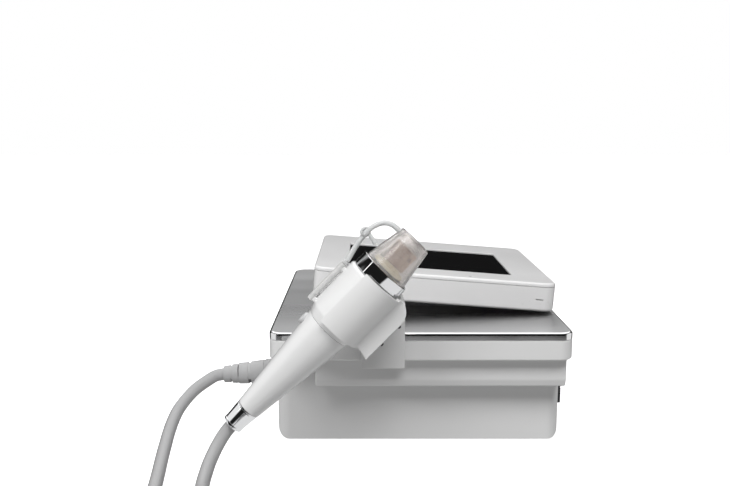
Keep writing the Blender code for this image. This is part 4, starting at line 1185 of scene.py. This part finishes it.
for i, height in enumerate((0.1222, 0.1560)):
    saddle = rounded_block(
        (0.0052, 0.0044, 0.0040), (-0.0250, 0, height), floor=0.0006, top=0.0006, segments=3
    )
    saddle = set_down(f"guide_saddle_{i + 1}", saddle, handpiece_white)
    groove = rod(0.0026, 0.004, 32)
    combine(
        saddle, "DIFFERENCE", cutter("groove", groove, Matrix.Translation((-GUIDE_OUT, 0, height)))
    )
    saddle.data.transform(handpiece_place)
    fit(saddle, "handpiece", "white_plastic")
COLLAR_PROFILE = [
    (0.0, 0.0026), (0.0022, 0.0026), (0.0029, 0.0020), (0.0029, 0.0013), (0.0026, 0.0010),
    (0.0029, 0.0007), (0.0029, 0.0003), (0.0026, 0.0), (0.0, 0.0),
]
fit(set_down("guide_collar", turned(COLLAR_PROFILE, 48, closed=False), button_grey,
             guide_place @ Matrix.Translation((0, 0, 0.1595))), "handpiece", "grey_plastic",
             "tube_collar")

# ---------------------------------------------------------------- clear tip
# A conical tip of smoky clear polycarbonate that pulls off, with a thick front rim, over a
# bronze-coated element on a cream nylon carrier.
TIP_PROFILE = [
    (0.01385, 0.2116), (0.0140, 0.2113), (0.01945, 0.1794), (0.0195, 0.1790), (0.0172, 0.1790),
    (0.0136, 0.2040), (0.0120, 0.2085), (0.0120, 0.2116),
]
fit(set_down("tip_shell", turned(TIP_PROFILE, 128), smoky_clear, handpiece_place),
    "tip", "smoky_clear", "tip_cap")
bronze = finish_of(
    "bronze_coat", (0.330, 0.230, 0.170), 0.34, metallic=0.55, grain=0.0010, relief=0.30,
    patch=0.006,
    uneven=0.10, mottle=0.15,
)
element = rounded_block((0.0190, 0.0150, 0.0175), (0, 0, 0.19435), 0.0010, top=0.0008, segments=4)
element = set_down("tip_element_block", element, bronze)
grooves = []
for i in range(3):
    groove = rounded_block((0.0220, 0.0010, 0.0060), (0, (i - 1) * 0.0042, 0.2031))
    grooves.append(cutter("groove", groove))
for side in (-0.0075, 0.0075):
    for x in (-0.0048, 0.0, 0.0048):
        grooves.append(
            cutter("groove", rounded_block((0.0009, 0.0018, 0.0190), (x, side, 0.19435)))
        )
    for z in (0.1900, 0.1945, 0.1990):
        grooves.append(cutter("groove", rounded_block((0.0200, 0.0018, 0.0009), (0, side, z))))
combine(element, "DIFFERENCE", *grooves)
element.data.transform(handpiece_place)
soften(element, 0.0002, 2)
fit(element, "tip", "bronze", "tip_element")
cream_nylon = finish_of(
    "cream_nylon", (0.700, 0.640, 0.470), 0.42, grain=0.0006, relief=0.15, patch=0.006, mottle=0.06,
)
CARRIER_PROFILE = [
    (0.0, 0.1853), (0.0085, 0.1853), (0.0090, 0.1838), (0.0138, 0.1826), (0.0140, 0.1820),
    (0.0140, 0.1800), (0.0, 0.1800),
]
fit(set_down(
    "tip_carrier_seat", turned(CARRIER_PROFILE, 64, closed=False), cream_nylon, handpiece_place
),
    "tip", "cream_plastic", "tip_carrier")

# ---------------------------------------------------------------- floor and light
# A wide sheet of white paper under everything, a soft lamp high on the left that throws the
# block's shadow on its plate, two weaker ones to the right and behind, and a studio whose walls
# are dark below a broad bright canopy, which the chrome, the lid and the screen show.
paper = finish_of(
    "floor_paper", (0.93, 0.93, 0.93), 0.85, grain=0.004, relief=0.02, patch=0.3, mottle=0.004,
    emission_strength=0.80,
)
paper.node_tree.nodes["Principled BSDF"].inputs["Emission Color"].default_value = (1, 1, 1, 1)
sheet = bmesh.new()
bmesh.ops.create_grid(sheet, x_segments=4, y_segments=4, size=5.0)
floor = set_down("floor_sheet", sheet, paper)
floor.visible_glossy = False
floor.visible_diffuse = False


def soft_lamp(name, at, aim, wide, high, power, seen=True):
    """A rectangular soft box that faces a point."""
    light = bpy.data.lights.new(name, "AREA")
    light.shape = "RECTANGLE"
    light.size = wide
    light.size_y = high
    light.energy = power
    lamp = bpy.data.objects.new(name, light)
    lamp.location = at
    lamp.rotation_euler = (Vector(aim) - Vector(at)).to_track_quat("-Z", "Y").to_euler()
    lamp.visible_glossy = seen
    scene.collection.objects.link(lamp)
    return lamp


soft_lamp("key_lamp", (-0.9, -1.0, 1.4), (0, 0, 0.08), 0.7, 0.7, 14.0, seen=False)
soft_lamp("front_lamp", (0.25, -1.25, 1.75), (0, 0, 0.08), 1.1, 0.9, 25.0, seen=False)
soft_lamp("back_lamp", (0.2, 1.6, 1.7), (0, 0, 0.05), 1.8, 0.8, 6.0, seen=False)
soft_lamp("strip_lamp", (-0.80, -0.45, 0.62), (-0.15, -0.15, 0.1), 0.05, 0.9, 0.25)

world = bpy.data.worlds.new("studio")
world.use_nodes = True
scene.world = world
sky = world.node_tree
ground = sky.nodes["Background"]
where = sky.nodes.new("ShaderNodeTexCoord")


def share_of(kind, axis, dark, bright):
    """How far a direction lies along an axis, from 0 at dark to 1 at bright."""
    along = sky.nodes.new("ShaderNodeVectorMath")
    along.operation = "DOT_PRODUCT"
    along.inputs[1].default_value = axis
    sky.links.new(where.outputs["Generated"], along.inputs[0])
    share = sky.nodes.new("ShaderNodeMapRange")
    share.interpolation_type = "SMOOTHSTEP"
    share.label = kind
    share.inputs["From Min"].default_value = dark
    share.inputs["From Max"].default_value = bright
    sky.links.new(along.outputs["Value"], share.inputs["Value"])
    return share.outputs["Result"]


def mixed(factor, first, second):
    """One level where the factor is 0, another where it is 1."""
    mix = sky.nodes.new("ShaderNodeMix")
    mix.data_type = "RGBA"
    sky.links.new(factor, mix.inputs["Factor"])
    for socket, level in (("A", first), ("B", second)):
        if isinstance(level, float):
            mix.inputs[socket].default_value = (level, level, level, 1)
        else:
            sky.links.new(level, mix.inputs[socket])
    return mix.outputs["Result"]


canopy = share_of("canopy", (0.0, 0.42, 0.91), 0.64, 0.78)
below = share_of("floor", (0.0, 0.0, -1.0), 0.24, 0.34)
left = share_of("left wall", (-1.0, 0.0, 0.0), 0.80, 0.88)
right = share_of("right wall", (1.0, 0.0, 0.0), 0.80, 0.88)
walls = mixed(right, mixed(left, 0.012, 1.0), 1.0)
studio = mixed(below, mixed(canopy, walls, 1.75), 0.85)
ray = sky.nodes.new("ShaderNodeLightPath")
room = mixed(below, 0.17, 0.48)
lit = mixed(ray.outputs["Is Glossy Ray"], room, studio)
sky.links.new(mixed(ray.outputs["Is Camera Ray"], lit, 1.0), ground.inputs["Color"])
scene.view_settings.view_transform = "Standard"
